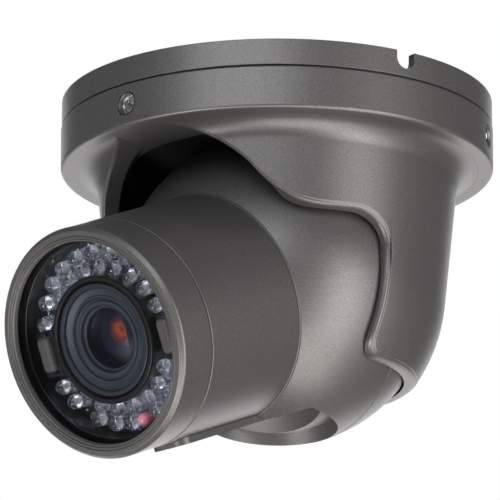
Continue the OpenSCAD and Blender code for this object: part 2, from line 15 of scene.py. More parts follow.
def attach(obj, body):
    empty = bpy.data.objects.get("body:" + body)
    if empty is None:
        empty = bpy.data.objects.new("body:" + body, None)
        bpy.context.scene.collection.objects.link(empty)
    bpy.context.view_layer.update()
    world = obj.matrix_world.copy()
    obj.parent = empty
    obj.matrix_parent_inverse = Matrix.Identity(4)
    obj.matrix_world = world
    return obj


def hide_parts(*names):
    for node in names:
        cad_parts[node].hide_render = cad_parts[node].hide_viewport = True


bl_info = {
    "name": "Turret camera",
    "version": (1, 0, 0),
    "blender": (4, 5, 0),
    "location": "View3D > Sidebar > Turret camera",
    "description": "Builds the looks of a ceiling turret camera around its CAD frame",
    "category": "Add Mesh",
}

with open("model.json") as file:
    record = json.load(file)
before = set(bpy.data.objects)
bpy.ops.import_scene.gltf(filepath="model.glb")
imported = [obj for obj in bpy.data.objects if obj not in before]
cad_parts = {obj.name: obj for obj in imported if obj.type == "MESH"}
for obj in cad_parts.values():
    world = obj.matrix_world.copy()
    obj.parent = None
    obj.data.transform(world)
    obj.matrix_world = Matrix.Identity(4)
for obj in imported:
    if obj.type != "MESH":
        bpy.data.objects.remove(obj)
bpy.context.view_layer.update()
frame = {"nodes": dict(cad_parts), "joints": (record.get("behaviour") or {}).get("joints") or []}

MM = 0.001
TURN = 2 * math.pi
JOINTS = {joint["name"]: joint for joint in frame["joints"]}
PIVOT = np.array(JOINTS["tilt"]["pos_m"]) / MM
BARREL_AXIS = np.array(JOINTS["zoom_turn"]["axis"])
ACROSS = np.array([1.0, 0.0, 0.0])
ABOVE_BARREL = np.cross(BARREL_AXIS, ACROSS)
HEAD_TURN = np.array([ACROSS, ABOVE_BARREL, BARREL_AXIS])
MADE = {}

BOARD = 81.0
SCREW_DIRECTIONS = (0, 120, 240)
SCREW_LEVEL = -16.3
SCREW_BAND = (-22.0, -10.6)
# Middle (head coordinates, off the lens axis), fade and ragged edge of the painted amber reflection on the
# inner lens glass.
PAINTED_REFLECTION_MIDDLE = np.array([[2.6, 1.8, 83.2]])
PAINTED_REFLECTION_FADE = 110
PAINTED_REFLECTION_RAGGED = 0.0022


# ---------------------------------------------------------------- sizes and colours


def length(default_mm, name, description):
    """A length property, kept in metres."""
    return bpy.props.FloatProperty(
        name=name, description=description, default=default_mm * MM, unit="LENGTH", precision=5
    )


def colour(default, name, description):
    """A linear colour property."""
    return bpy.props.FloatVectorProperty(
        name=name, description=description, default=default, subtype="COLOR", size=3, min=0, max=1
    )


class TurretSizes(bpy.types.PropertyGroup):
    """Sizes of the camera's outside."""

    cover_r: length(73, "Cover radius", "Outer radius of the cover's rim")
    cover_top: length(9.35, "Cover top", "Depth of the rim's upper edge")
    underside: length(23.8, "Underside depth", "Depth of the rim's flat underside")
    cove_r: length(7.5, "Cove radius", "Hollow between the underside and the neck")
    neck_sphere_r: length(56.7, "Neck sphere radius", "Round lower part of the neck")
    socket_r: length(53.8, "Socket radius", "Inside of the neck, around the ball")
    arch_r: length(42.5, "Arch radius", "Arch over the barrel")
    ball_r: length(53, "Ball radius", "Outside of the ball")
    barrel_r: length(38.8, "Barrel radius", "Outside of the barrel")
    cap_seam: length(80.9, "Cap seam", "Distance of the cap's seam from the tilt axis")
    barrel_front: length(96.5, "Barrel front", "Distance of the front rim from the tilt axis")
    window_r: length(34, "Window radius", "Opening of the cap")
    window_front: length(94.1, "Window front", "Distance of the glass from the tilt axis")
    lamp_d: length(5, "Lamp diameter", "Body of an infrared lamp")


class TurretFinish(bpy.types.PropertyGroup):
    """Colours of the camera's finishes."""

    coat: colour((0.135, 0.129, 0.127), "Coat", "Dark warm-grey metallic powder coat")
    steel: colour((0.62, 0.62, 0.63), "Steel", "Screws and pins")
    rubber: colour((0.018, 0.018, 0.018), "Rubber", "Seals and grommets")
    board: colour((0.02, 0.025, 0.042), "Lamp board", "Solder mask of the lamp board")
    lens_black: colour((0.024, 0.028, 0.038), "Lens black", "Anodised lens barrel")
    block: colour((0.07, 0.06, 0.058), "Rubber blocks", "Blocks on the lamp board")
    sensor: colour((0.85, 0.27, 0.35), "Light sensor", "Dyed epoxy of the light sensor")


def mm(value):
    """Metres to millimetres."""
    return value / MM


def sizes():
    """The camera's sizes, in metres."""
    return bpy.context.scene.turret_sizes


def finish():
    """The camera's colours."""
    return bpy.context.scene.turret_finish


# ---------------------------------------------------------------- places


def to_head(points):
    """Head coordinates to the frame: x across, y above the barrel's axis, z along the barrel."""
    return points @ HEAD_TURN + PIVOT


def head_turn(normals):
    """Directions in head coordinates to directions in the frame: their three parts along the head's axes."""
    return normals @ HEAD_TURN


def unchanged(vectors):
    """Places or directions that are in the frame's axes already."""
    return vectors


HEAD = (to_head, head_turn)
BASE = (unchanged, unchanged)


# ---------------------------------------------------------------- surfaces


def unit(vectors):
    """Vectors divided by their length."""
    return vectors / np.maximum(np.linalg.norm(vectors, axis=-1, keepdims=True), 1e-12)


def patch(points, normals, finish_index=0):
    """A grid of points with their outward normals, as quads: (vertices, normals, corners, finish)."""
    rows, columns = points.shape[:2]
    index = np.arange(rows * columns).reshape(rows, columns)
    quads = np.stack([index[:-1, :-1], index[1:, :-1], index[1:, 1:], index[:-1, 1:]], -1).reshape(-1, 4)
    return points.reshape(-1, 3), unit(normals.reshape(-1, 3)), quads, finish_index


def write_piece(name, patches, finishes, body, place=HEAD, replaced=()):
    """Joins patches into one mesh.

    Corners that lie on each other become one vertex, each face is turned to look along its normals, and
    the normals stay on the faces' corners, so rounds shade smoothly and sharp edges stay sharp.
    """
    offset = 0
    points, normals, quads, slots = [], [], [], []
    for one_points, one_normals, one_quads, finish_index in patches:
        points.append(one_points)
        normals.append(one_normals)
        quads.append(one_quads + offset)
        slots.append(np.full(len(one_quads), finish_index))
        offset += len(one_points)
    points, normals = np.concatenate(points), np.concatenate(normals)
    quads, slots = np.concatenate(quads), np.concatenate(slots)
    across = np.cross(points[quads[:, 2]] - points[quads[:, 0]], points[quads[:, 3]] - points[quads[:, 1]])
    inward = (across * normals[quads].sum(1)).sum(1) < 0
    quads[inward] = quads[inward][:, ::-1]
    _, first, merged = np.unique(np.round(points, 4), axis=0, return_index=True, return_inverse=True)
    ids = merged.reshape(-1)[quads]
    used = ids != np.roll(ids, 1, axis=1)
    keep = (used.sum(1) > 2) & (ids[:, 0] != ids[:, 2]) & (ids[:, 1] != ids[:, 3])
    ids, used, quads, slots = ids[keep], used[keep], quads[keep], slots[keep]
    starts = np.concatenate([[0], np.cumsum(used.sum(1))[:-1]])
    mesh = bpy.data.meshes.new(name)
    mesh.vertices.add(len(first))
    mesh.vertices.foreach_set("co", (place[0](points[first]) * MM).astype(np.float32).ravel())
    mesh.loops.add(int(used.sum()))
    mesh.loops.foreach_set("vertex_index", ids[used].astype(np.int32))
    mesh.polygons.add(len(ids))
    mesh.polygons.foreach_set("loop_start", starts.astype(np.int32))
    for each in finishes:
        mesh.materials.append(each)
    mesh.polygons.foreach_set("material_index", slots.astype(np.int32))
    mesh.update(calc_edges=True)
    mesh.shade_smooth()
    mesh.normals_split_custom_set(place[1](normals[quads][used]).astype(np.float32))
    piece = bpy.data.objects.new(name, mesh)
    bpy.context.scene.collection.objects.link(piece)
    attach(piece, body)
    if replaced:
        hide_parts(*replaced)
    return piece


def outline(corners, steps=6, closed=True):
    """A profile with rounded corners.

    corners are (r, h, radius) with the material on the left.  Each corner becomes an arc tangent to its
    two sides, or two rows with different normals where its radius is 0.  Rows are (r, h, nr, nh).
    """
    spots = [np.array(corner[:2], float) for corner in corners]
    rows = []
    count = len(spots)
    for i, spot in enumerate(spots):
        ends = not closed and i in (0, count - 1)
        into = unit(spot - spots[i - 1]) if not (ends and i == 0) else None
        out = unit(spots[(i + 1) % count] - spot) if not (ends and i == count - 1) else None
        if ends:
            along = out if into is None else into
            rows.append([*spot, along[1], -along[0]])
            continue
        turn = math.atan2(into[0] * out[1] - into[1] * out[0], into @ out)
        radius = corners[i][2] if len(corners[i]) > 2 else 0
        start = np.array([into[1], -into[0]])
        if radius == 0:
            rows.append([*spot, *start])
            rows.append([*spot, out[1], -out[0]])
            continue
        side = 1 if turn > 0 else -1
        centre = spot - into * radius * math.tan(abs(turn) / 2) - start * radius * side
        for angle in np.linspace(0, turn, steps + 1):
            c, s = math.cos(angle), math.sin(angle)
            normal = np.array([start[0] * c - start[1] * s, start[0] * s + start[1] * c])
            rows.append([*(centre + normal * radius * side), *normal])
    if closed:
        rows.append(rows[0])
    return np.array(rows)


def turned(rows, count=192, start=0.0, end=TURN):
    """A profile of (r, h, nr, nh) rows turned about the z axis, angle 0 along +x."""
    angle = np.linspace(start, end, count + 1)[:, None]
    if abs(end - start - TURN) < 1e-9:
        angle[-1] = angle[0]
    c, s = np.cos(angle), np.sin(angle)
    r, h, nr, nh = (rows[None, :, k] for k in range(4))
    flat = np.ones_like(c)
    return (
        np.stack([r * c, r * s, h * flat], -1),
        np.stack([nr * c, nr * s, nh * flat], -1),
    )


def lathe(rows, count=192, finish_index=0):
    """A profile turned all the way round, as a patch."""
    return patch(*turned(rows, count), finish_index)


def moved(one_patch, shift=(0, 0, 0), turn=None):
    """A patch turned by a 3 x 3 matrix whose rows are its new axes, then shifted."""
    points, normals, quads, finish_index = one_patch
    if turn is not None:
        points, normals = points @ turn, normals @ turn
    return points + np.array(shift), normals, quads, finish_index


def facing(degrees):
    """Axes of a frame that stands on the rim: x along the rim, y up, z outwards.  0 is the front."""
    a = math.radians(degrees)
    return np.array([[math.cos(a), math.sin(a), 0], [0, 0, 1], [math.sin(a), -math.cos(a), 0]])


def ring_to_hole(inner, outer, rows):
    """Points from a closed inner curve to a closed outer curve, both (n, 2), blended in equal steps."""
    share = np.linspace(0, 1, rows)[:, None, None]
    return inner[None] * (1 - share) + outer[None] * share


# ---------------------------------------------------------------- finishes


def grained(name, base, metallic=0.0, roughness=0.5, grain=900.0, contrast=0.12, bump=0.0, edge=0.0, **more):
    """A finish whose colour wanders with a fine noise on Object coordinates, from darker to lighter grains.

    grain is in grains per metre, contrast the share of the colour that the noise takes or adds, bump the
    height of the grain in millimetres, edge the radius in millimetres that sharp edges seem to have.
    """
    made = bpy.data.materials.new(name)
    made.use_nodes = True
    nodes, links = made.node_tree.nodes, made.node_tree.links
    shader = nodes["Principled BSDF"]
    shader.inputs["Metallic"].default_value = metallic
    shader.inputs["Roughness"].default_value = roughness
    for socket, value in more.items():
        shader.inputs[socket.replace("_", " ")].default_value = value
    where = nodes.new("ShaderNodeTexCoord")
    noise = nodes.new("ShaderNodeTexNoise")
    noise.inputs["Scale"].default_value = grain
    noise.inputs["Detail"].default_value = 3
    ramp = nodes.new("ShaderNodeValToRGB")
    ramp.color_ramp.elements[0].position = 0.3
    ramp.color_ramp.elements[1].position = 0.7
    ramp.color_ramp.elements[0].color = (*[x * (1 - contrast) for x in base], 1)
    ramp.color_ramp.elements[1].color = (*[min(1, x * (1 + contrast)) for x in base], 1)
    links.new(where.outputs["Object"], noise.inputs["Vector"])
    links.new(noise.outputs["Fac"], ramp.inputs["Fac"])
    links.new(ramp.outputs["Color"], shader.inputs["Base Color"])
    rounded = None
    if edge:
        rounded = nodes.new("ShaderNodeBevel")
        rounded.samples = 4
        rounded.inputs["Radius"].default_value = edge * MM
        links.new(rounded.outputs["Normal"], shader.inputs["Normal"])
    if bump:
        relief = nodes.new("ShaderNodeBump")
        relief.inputs["Strength"].default_value = 1
        relief.inputs["Distance"].default_value = bump * MM
        links.new(noise.outputs["Fac"], relief.inputs["Height"])
        if rounded:
            links.new(rounded.outputs["Normal"], relief.inputs["Normal"])
        links.new(relief.outputs["Normal"], shader.inputs["Normal"])
    return made


def clear(name, tint, gloss_roughness=0.02, ior=1.45, coat=(1, 1, 1)):
    """Thin clear material: what lies behind shows through its tint, and Fresnel adds the gloss."""
    made = bpy.data.materials.new(name)
    made.use_nodes = True
    nodes, links = made.node_tree.nodes, made.node_tree.links
    nodes.remove(nodes["Principled BSDF"])
    out = nodes["Material Output"]
    through = nodes.new("ShaderNodeBsdfTransparent")
    through.inputs["Color"].default_value = (*tint, 1)
    gloss = nodes.new("ShaderNodeBsdfAnisotropic")
    gloss.inputs["Color"].default_value = (*coat, 1)
    gloss.inputs["Roughness"].default_value = gloss_roughness
    share = nodes.new("ShaderNodeFresnel")
    share.inputs["IOR"].default_value = ior
    both = nodes.new("ShaderNodeMixShader")
    links.new(share.outputs["Fac"], both.inputs["Fac"])
    links.new(through.outputs["BSDF"], both.inputs[1])
    links.new(gloss.outputs["BSDF"], both.inputs[2])
    links.new(both.outputs["Shader"], out.inputs["Surface"])
    return made


def glass_with_painted_reflection(name):
    """Glass deep in the lens: navy, with a painted amber reflection that fades with the distance from its
    middle.

    The painted reflection stands in for light mirrored by the lens's coated elements; its middle is fixed on
    the object, off the lens axis.  The distance is measured on Object coordinates, and a fine noise is added
    to it so that the painted reflection's edge is uneven.
    """
    made = grained(name, (0.02, 0.022, 0.034), 0, 0.2, 300, 0.3)
    nodes, links = made.node_tree.nodes, made.node_tree.links
    shader = nodes["Principled BSDF"]
    shader.inputs["Specular IOR Level"].default_value = 0.2
    where, noise, away, ramp, add = (nodes.new("ShaderNode" + kind) for kind in (
        "TexCoord", "TexNoise", "VectorMath", "ValToRGB", "Math"))
    away.operation = "DISTANCE"
    away.inputs[1].default_value = to_head(PAINTED_REFLECTION_MIDDLE)[0] * MM
    noise.inputs["Scale"].default_value = 420
    add.operation = "MULTIPLY_ADD"
    add.inputs[1].default_value = PAINTED_REFLECTION_RAGGED
    scaled = nodes.new("ShaderNodeMath")
    scaled.operation = "MULTIPLY"
    scaled.inputs[1].default_value = PAINTED_REFLECTION_FADE
    # Ramp from the middle outwards: painted amber reflection, fading into the glass's own navy.
    steps = ((0.0, (0.30, 0.09, 0.085)), (0.13, (0.09, 0.03, 0.035)), (0.3, (0.75, 0.15, 0.05)),
             (0.5, (0.24, 0.05, 0.03)), (0.75, (0.026, 0.028, 0.04)))
    for k, (position, shade) in enumerate(steps):
        spot = ramp.color_ramp.elements[k] if k < 2 else ramp.color_ramp.elements.new(position)
        spot.position, spot.color = position, (*shade, 1)
    links.new(where.outputs["Object"], away.inputs[0])
    links.new(where.outputs["Object"], noise.inputs["Vector"])
    links.new(noise.outputs["Fac"], add.inputs[0])
    links.new(away.outputs["Value"], add.inputs[2])
    links.new(add.outputs["Value"], scaled.inputs[0])
    links.new(scaled.outputs["Value"], ramp.inputs["Fac"])
    links.new(ramp.outputs["Color"], shader.inputs["Base Color"])
    return made


def resin(name, tint, roughness):
    """Clear cast resin that bends what shows through it, but lets the light of lamps pass straight.

    A noise on Object coordinates mixes in some milky streaks, as the bubbles and flow lines of the casting.
    """
    made = bpy.data.materials.new(name)
    made.use_nodes = True
    nodes, links = made.node_tree.nodes, made.node_tree.links
    shader = nodes["Principled BSDF"]
    shader.inputs["Base Color"].default_value = (*tint, 1)
    shader.inputs["Roughness"].default_value = roughness
    shader.inputs["IOR"].default_value = 1.45
    shader.inputs["Transmission Weight"].default_value = 1
    milk = nodes.new("ShaderNodeBsdfTranslucent")
    milk.inputs["Color"].default_value = (0.9, 0.92, 1.0, 1)
    where, noise, ramp = (nodes.new("ShaderNode" + kind) for kind in ("TexCoord", "TexNoise", "ValToRGB"))
    noise.inputs["Scale"].default_value = 700
    noise.inputs["Detail"].default_value = 4
    ramp.color_ramp.elements[0].position, ramp.color_ramp.elements[1].position = 0.42, 0.72
    ramp.color_ramp.elements[0].color = (0.03, 0.03, 0.03, 1)
    ramp.color_ramp.elements[1].color = (0.55, 0.55, 0.55, 1)
    links.new(where.outputs["Object"], noise.inputs["Vector"])
    links.new(noise.outputs["Fac"], ramp.inputs["Fac"])
    body = nodes.new("ShaderNodeMixShader")
    links.new(ramp.outputs["Color"], body.inputs["Fac"])
    links.new(shader.outputs["BSDF"], body.inputs[1])
    links.new(milk.outputs["BSDF"], body.inputs[2])
    through = nodes.new("ShaderNodeBsdfTransparent")
    through.inputs["Color"].default_value = (*tint, 1)
    path = nodes.new("ShaderNodeLightPath")
    both = nodes.new("ShaderNodeMixShader")
    links.new(path.outputs["Is Shadow Ray"], both.inputs["Fac"])
    links.new(body.outputs["Shader"], both.inputs[1])
    links.new(through.outputs["BSDF"], both.inputs[2])
    links.new(both.outputs["Shader"], nodes["Material Output"].inputs["Surface"])
    return made


def finishes():
    """The camera's materials by name, made once."""
    if MADE:
        return MADE
    look = finish()
    MADE["coat"] = grained("coat", look.coat, 0.7, 0.42, 2600, 0.25, 0.006)
    MADE["cad_coat"] = grained("cad_coat", look.coat, 0.7, 0.42, 2600, 0.25, 0.006, edge=0.4)
    MADE["steel"] = grained("steel", look.steel, 1.0, 0.28, 1500, 0.1, 0.004, edge=0.1)
    MADE["brass"] = grained("brass", (0.62, 0.43, 0.16), 1.0, 0.3, 1500, 0.1, edge=0.1)
    MADE["rubber"] = grained("rubber", look.rubber, 0, 0.62, 800, 0.2, 0.01, edge=0.15)
    MADE["plastic"] = grained("plastic", (0.014, 0.014, 0.015), 0, 0.5, 800, 0.2, 0.01, edge=0.15)
    MADE["nylon"] = grained("nylon", (0.62, 0.58, 0.5), 0, 0.45, 500, 0.06, edge=0.15)
    MADE["lamp_board"] = grained("lamp_board", look.board, 0, 0.35, 700, 0.3, 0.006)
    MADE["green_board"] = grained("green_board", (0.012, 0.06, 0.03), 0, 0.4, 700, 0.25, 0.006)
    MADE["lens_black"] = grained("lens_black", look.lens_black, 0.3, 0.38, 900, 0.15, 0.006, edge=0.12)
    MADE["hood"] = grained("hood", (0.0045, 0.0045, 0.0055), 0, 0.3, 800, 0.2, 0.006, edge=0.12)
    MADE["block"] = grained("block", look.block, 0, 0.55, 500, 0.15, 0.01)
    MADE["glass"] = clear("glass", (0.96, 0.97, 0.98), 0.02, 1.17)
    MADE["lens_slate"] = grained("lens_slate", (0.027, 0.034, 0.048), 0.2, 0.45, 900, 0.15, 0.004, edge=0.1)
    MADE["bright_metal"] = grained("bright_metal", (0.85, 0.85, 0.87), 1.0, 0.22, 900, 0.08)
    MADE["sensor"] = grained("sensor", look.sensor, 0, 0.25, 900, 0.1, Coat_Weight=0.5, Subsurface_Weight=0.3,
                              Subsurface_Scale=0.002)
    MADE["lamp_resin"] = resin("lamp_resin", (0.96, 0.97, 1.0), 0.04)
    MADE["front_lens"] = clear("front_lens", (0.82, 0.82, 0.88), 0.3, 1.3, (0.3, 0.31, 0.38))
    # Inner lens glass with a painted amber reflection in its colour.
    MADE["inner_lens"] = glass_with_painted_reflection("inner_lens")
    return MADE


NODE_FINISH = {
    "coat": ["mount_base", "turret_cover", "ball_front_shell", "ball_rear_shell", "barrel_tube",
             "access_cover", "front_cap"],
    "steel": ["set_screws", "clamp_screws", "pan_stop_post", "ball_screws", "tilt_pivots", "barrel_screws",
              "access_screws", "led_board_screws", "bracket_screws", "zoom_lock_screw", "focus_lock_screw"],
    "rubber": ["ceiling_gasket", "seam_gasket", "cable_grommet", "friction_ring", "ball_seals",
               "ball_grommet", "access_gasket", "cap_o_ring", "window_gasket"],
    "plastic": ["ball_clamp_ring", "window_retainer", "iris_unit", "image_sensor", "video_chip",
                "power_capacitors", "lens_bracket"],
    "nylon": ["pan_slip_ring"],
    "brass": ["sensor_standoffs", "board_standoffs"],
    "lamp_board": ["led_board"],
    "green_board": ["sensor_board", "main_board", "power_board"],
    "lens_black": ["lens_barrel", "zoom_ring", "focus_ring"],
    "hood": ["lens_hood"],
    "block": ["board_spacers", "light_sensor"],
    "glass": ["window_glass", "front_element", "rear_element", "outer_leds", "inner_leds"],
}


def finish_cad_nodes():
    """Gives each CAD node that still shows its finish."""
    made = finishes()
    for key, names in NODE_FINISH.items():
        for name in names:
            node = frame["nodes"][name]
            if node.type != "MESH":
                continue
            node.data.materials.clear()
            node.data.materials.append(made["cad_coat" if key == "coat" else key])


# ---------------------------------------------------------------- front of the barrel


def rounded_loop(width, height, radius, steps=8):
    """Outline of a rounded rectangle, and its outward normals: four quarter circles joined by straights."""
    points, normals = [], []
    for turn, (x, y) in enumerate(((1, 1), (-1, 1), (-1, -1), (1, -1))):
        angle = np.linspace(0, math.pi / 2, steps + 1) + turn * math.pi / 2
        normal = np.stack([np.cos(angle), np.sin(angle)], -1)
        points.append(np.array([x * (width / 2 - radius), y * (height / 2 - radius)]) + radius * normal)
        normals.append(normal)
    points, normals = np.concatenate(points), np.concatenate(normals)
    return np.concatenate([points, points[:1]]), np.concatenate([normals, normals[:1]])


def pillar(loop, normals, rows, finish_index=0):
    """A profile carried along a closed outline: row (r, h, nr, nh) lies r outside the outline at height h."""
    r, h, nr, nh = (rows[None, :, k, None] for k in range(4))
    flat = np.ones((len(loop), 1, 1))
    points = np.concatenate([loop[:, None] + r * normals[:, None], h * flat], -1)
    return patch(points, np.concatenate([nr * normals[:, None], nh * flat], -1), finish_index)


def lid(loop, height, up=1, finish_index=0):
    """Flat cover of an outline: straight lines from its middle to each point."""
    middle = loop[:-1].mean(0)
    points = np.stack([np.repeat(middle[None], len(loop), 0), loop], 1)
    points = np.concatenate([points, np.full((*points.shape[:2], 1), height)], -1)
    return patch(points, np.broadcast_to([0.0, 0.0, float(up)], points.shape).copy(), finish_index)


def block(width, height, radius, low, high, edge, finish_index=0):
    """Rounded block: a rounded rectangle carried up, its upper edge a quarter circle."""
    loop, normals = rounded_loop(width, height, radius)
    rows = outline([(-0.01, low), (0, low, 0), (0, high, edge), (-edge * 1.2, high)], 6, closed=False)
    inner = loop - normals * edge * 1.2
    return [pillar(loop, normals, rows, finish_index), lid(inner, high, 1, finish_index),
            lid(loop, low, -1, finish_index)]


def around_axis(patches, radius, degrees, lift=0.0, roll=True):
    """Copies of some patches standing around the barrel's axis, each turned to its direction."""
    copies = []
    for angle in np.radians(degrees):
        c, s = math.cos(angle), math.sin(angle)
        turn = np.array([[c, s, 0], [-s, c, 0], [0, 0, 1]]) if roll else None
        copies += [moved(each, (radius * c, radius * s, lift), turn) for each in patches]
    return copies


def arcs(spans):
    """Directions of lamps, evenly spread over each span (first, last, count)."""
    return np.concatenate([np.linspace(*span) for span in spans])


OUTER_LAMPS = arcs(((27, 160, 10), (204, 217, 2), (240, 268, 3), (293, 326, 3)))
INNER_LAMPS = arcs(((16, 134, 8), (240, 325, 6)))
LAMP_RINGS = (("outer", 28.8, OUTER_LAMPS), ("inner", 23.7, INNER_LAMPS))


def lamp_patches(radius):
    """Infrared lamp: flange, straight body and half-sphere dome, turned about the lamp's axis.

    Finish 0 is the clear resin, 1 the bright metal inside: a cup whose bowl is a cone, its post, the
    second post beside it and the flat top of the two leads.
    """
    dome = [(radius * math.cos(a), 5.8 + radius * math.sin(a)) for a in np.linspace(0, math.pi / 2, 13)]
    shell = [[r, h, math.cos(a), math.sin(a)] for (r, h), a in zip(dome, np.linspace(0, math.pi / 2, 13))]
    foot = outline([(0, 0.02), (radius + 0.35, 0.02, 0.1), (radius + 0.35, 1, 0.2), (radius, 1, 0.1),
                    (radius, 5.8)], 2, closed=False)
    body = lathe(np.array(list(foot[:-1]) + shell), 28)
    cup = outline([(0, 1.8), (0.95, 1.8, 0.1), (1.65, 4.2, 0.06), (1.45, 4.2, 0.06), (0.45, 2.9), (0, 2.9)],
                  2, closed=False)
    loop, normals = rounded_loop(0.5, 0.5, 0.05, 1)
    post = pillar(loop, normals, np.array([[0, 0.1, 1, 0], [0, 1.9, 1, 0]]), 1)
    second = pillar(loop, normals, np.array([[0, 0.1, 1, 0], [0, 3.4, 1, 0]]), 1)
    plate_loop, plate_normals = rounded_loop(0.9, 1.3, 0.2, 2)
    plate = pillar(plate_loop, plate_normals, np.array([[0, 2.9, 1, 0], [0, 3.5, 1, 0]]), 1)
    return [body, lathe(cup, 20, 1), post, moved(second, (-1.5, 0, 0)), moved(plate, (-1.5, 0, 0)),
            moved(lid(plate_loop, 3.5, 1, 1), (-1.5, 0, 0))]


def build_lamps():
    """Two rings of lamps: one lamp's surfaces copied around the barrel's axis at each ring's radius."""
    look = finishes()
    lamp = lamp_patches(mm(sizes().lamp_d) / 2)
    for name, ring, directions in LAMP_RINGS:
        write_piece("lamps_" + name, around_axis(lamp, ring, directions, BOARD),
                    [look["lamp_resin"], look["bright_metal"]], "head", HEAD, [name + "_leds"])


def build_light_sensor():
    """Dyed sensor: straight body and a half-sphere dome."""
    angle = np.linspace(0, math.pi / 2, 13)
    shell = [[2.3 * math.cos(a), 4.9 + 2.3 * math.sin(a), math.cos(a), math.sin(a)] for a in angle]
    foot = outline([(0, 0.02), (2.5, 0.02, 0.1), (2.5, 1, 0.2), (2.3, 1, 0.1), (2.3, 4.9)], 2, closed=False)
    body = lathe(np.array(list(foot[:-1]) + shell), 32)
    write_piece("light_sensor_dome", around_axis([body], 29.0, [278], BOARD), [finishes()["sensor"]], "head",
                HEAD, ["light_sensor"])


def build_blocks():
    """Two soft blocks in dark frames; each frame is a lower, wider rounded block."""
    look = finishes()
    patches = []
    for x, y in ((-27, 0), (26, -4)):
        for each in block(5.6, 12.2, 1.9, 0.02, 9.4, 1.6, 0) + block(7.4, 15.8, 1.4, 0.01, 7.2, 0.5, 1):
            patches.append(moved(each, (x, y, BOARD)))
        for end in (-1, 1):
            for each in block(3.4, 1.6, 0.7, 6.5, 8.6, 0.4, 1):
                patches.append(moved(each, (x, y + end * 6.7, BOARD)))
    write_piece("soft_blocks", patches, [look["block"], look["hood"]], "head", HEAD,
                ["board_spacers"])


def build_lamp_board():
    """Ring-shaped board with small bright pads on each side of the outer lamps, and small parts between the
    lamps.
    """
    look = finishes()
    rows = outline([(19.6, 79.4, 0.1), (33.3, 79.4, 0.1), (33.3, 81, 0.1), (19.6, 81, 0.1)], 2)
    patches = [lathe(rows, 160)]
    chips = block(1.6, 0.8, 0.1, 0.01, 0.5, 0.08, 1)
    patches += around_axis(chips, 26.2, [20, 43, 58, 76, 94, 112, 131, 150, 207, 246, 262, 300, 318], BOARD)
    pads = lathe(outline([(0, 0.01), (0.7, 0.01, 0.02), (0.5, 0.35, 0.2), (0, 0.4)], 3, closed=False), 12, 2)
    angles = np.concatenate([OUTER_LAMPS - 4.6, OUTER_LAMPS + 4.6])
    patches += around_axis([pads], 31.9, angles, BOARD)
    write_piece("lamp_board", patches, [look["lamp_board"], look["hood"], look["bright_metal"]], "head", HEAD,
                ["led_board"])


def build_lens():
    """Hood and stepped front of the lens, turned from their profiles; the glasses are caps of spheres."""
    look = finishes()
    hood = outline([(19.5, 81.01, 0.1), (21, 81.01, 0.1), (21.5, 90.2, 0.3), (21.2, 91, 0.25),
                    (19.9, 91, 0.2), (19.5, 90.4, 0.1),
                    (19.5, 88.6, 0.1), (19.62, 88.5, 0.05), (19.62, 88.2, 0.05),
                    (19.5, 88.1, 0.05), (19.5, 87, 0.05), (19.62, 86.9, 0.05), (19.62, 86.6, 0.05),
                    (19.5, 86.5, 0.05)], 3)
    write_piece("hood", [lathe(hood, 200)], [look["hood"]], "head", HEAD, ["lens_hood"])
    barrel = outline([
        (7, 38), (12, 38, 0.2), (12, 44, 0.1), (15.5, 44, 0.3), (15.5, 57, 0.1), (18.4, 57, 0.3),
        (18.4, 59, 0.3), (15.5, 59, 0.1), (15.5, 68, 0.1), (18.6, 68, 0.3), (18.6, 78, 0.1),
        (18.9, 78, 0.1), (18.9, 90.5, 0.35),
        (17.6, 90.5, 0.25)], 4, closed=False)
    cone = outline([(17.6, 90.5), (17.2, 90.05, 0.1), (17.0, 89.2, 0.15), (14.9, 88.7, 0.12),
                    (14.6, 89.1, 0.12), (14.1, 89.1, 0.12),
                    (13.7, 88.3, 0.15), (13.2, 87.9, 0.1)], 4, closed=False)
    ledge = outline([(13.2, 87.9), (13.0, 87.9, 0.1), (12.7, 88.5, 0.12), (11.5, 88.5, 0.2), (11.2, 87.6)], 4,
                    closed=False)
    inside = outline([(11.2, 87.6), (11.0, 87.2, 0.1), (10.1, 87.1, 0.1), (10.0, 79.6, 0.1), (8.6, 79.6, 0.1),
                      (8.6, 66.1, 0.1), (9.8, 66.1, 0.1), (9.8, 61.9, 0.1),
                      (8.6, 61.9, 0.1), (8.6, 46, 0.1), (8.1, 46, 0.1), (8.1, 39.5, 0.1), (7, 39.5, 0.1),
                      (7, 38)], 2, closed=False)
    write_piece("lens_front", [lathe(barrel, 200), lathe(cone, 200, 1), lathe(ledge, 200, 1),
                               lathe(inside, 120)],
                [look["lens_black"], look["lens_slate"]], "head", HEAD, ["lens_barrel"])
    write_piece("front_lens_glass", [glass_cap(9.95, 88.9, 26, 84.2, 40)], [look["front_lens"]], "head", HEAD,
                ["front_element"])
    # The inner glasses show a painted amber reflection in their colour.
    inner = [glass_cap(9.9, 83.9, 17, 79.9, -30), glass_cap(8.5, 74.5, 18, 71.5, 60)]
    write_piece("inner_lens_glass", inner, [look["inner_lens"]], "head", HEAD)


def glass_cap(radius, top, curve, low, back_curve, finish_index=0):
    """Round glass: its front a cap of a sphere of radius curve, its back one of back_curve (< 0 hollow)."""
    share = np.linspace(0, 1, 25)
    front_sag = curve - np.sqrt(curve ** 2 - (radius * share) ** 2)
    front = [[radius * t, top - sag, radius * t / curve, math.sqrt(1 - (radius * t / curve) ** 2)]
             for t, sag in zip(share[::-1], front_sag[::-1])]
    bend = abs(back_curve)
    way = 1 if back_curve > 0 else -1
    back_sag = bend - np.sqrt(bend ** 2 - (radius * share) ** 2)
    back = [[radius * t, low + way * sag, radius * t / bend * way, -math.sqrt(1 - (radius * t / bend) ** 2)]
            for t, sag in zip(share, back_sag)]
    rim = [[radius, back[-1][1], 1, 0], [radius, front[0][1], 1, 0]]
    return lathe(np.array(back + rim + front), 96, finish_index)


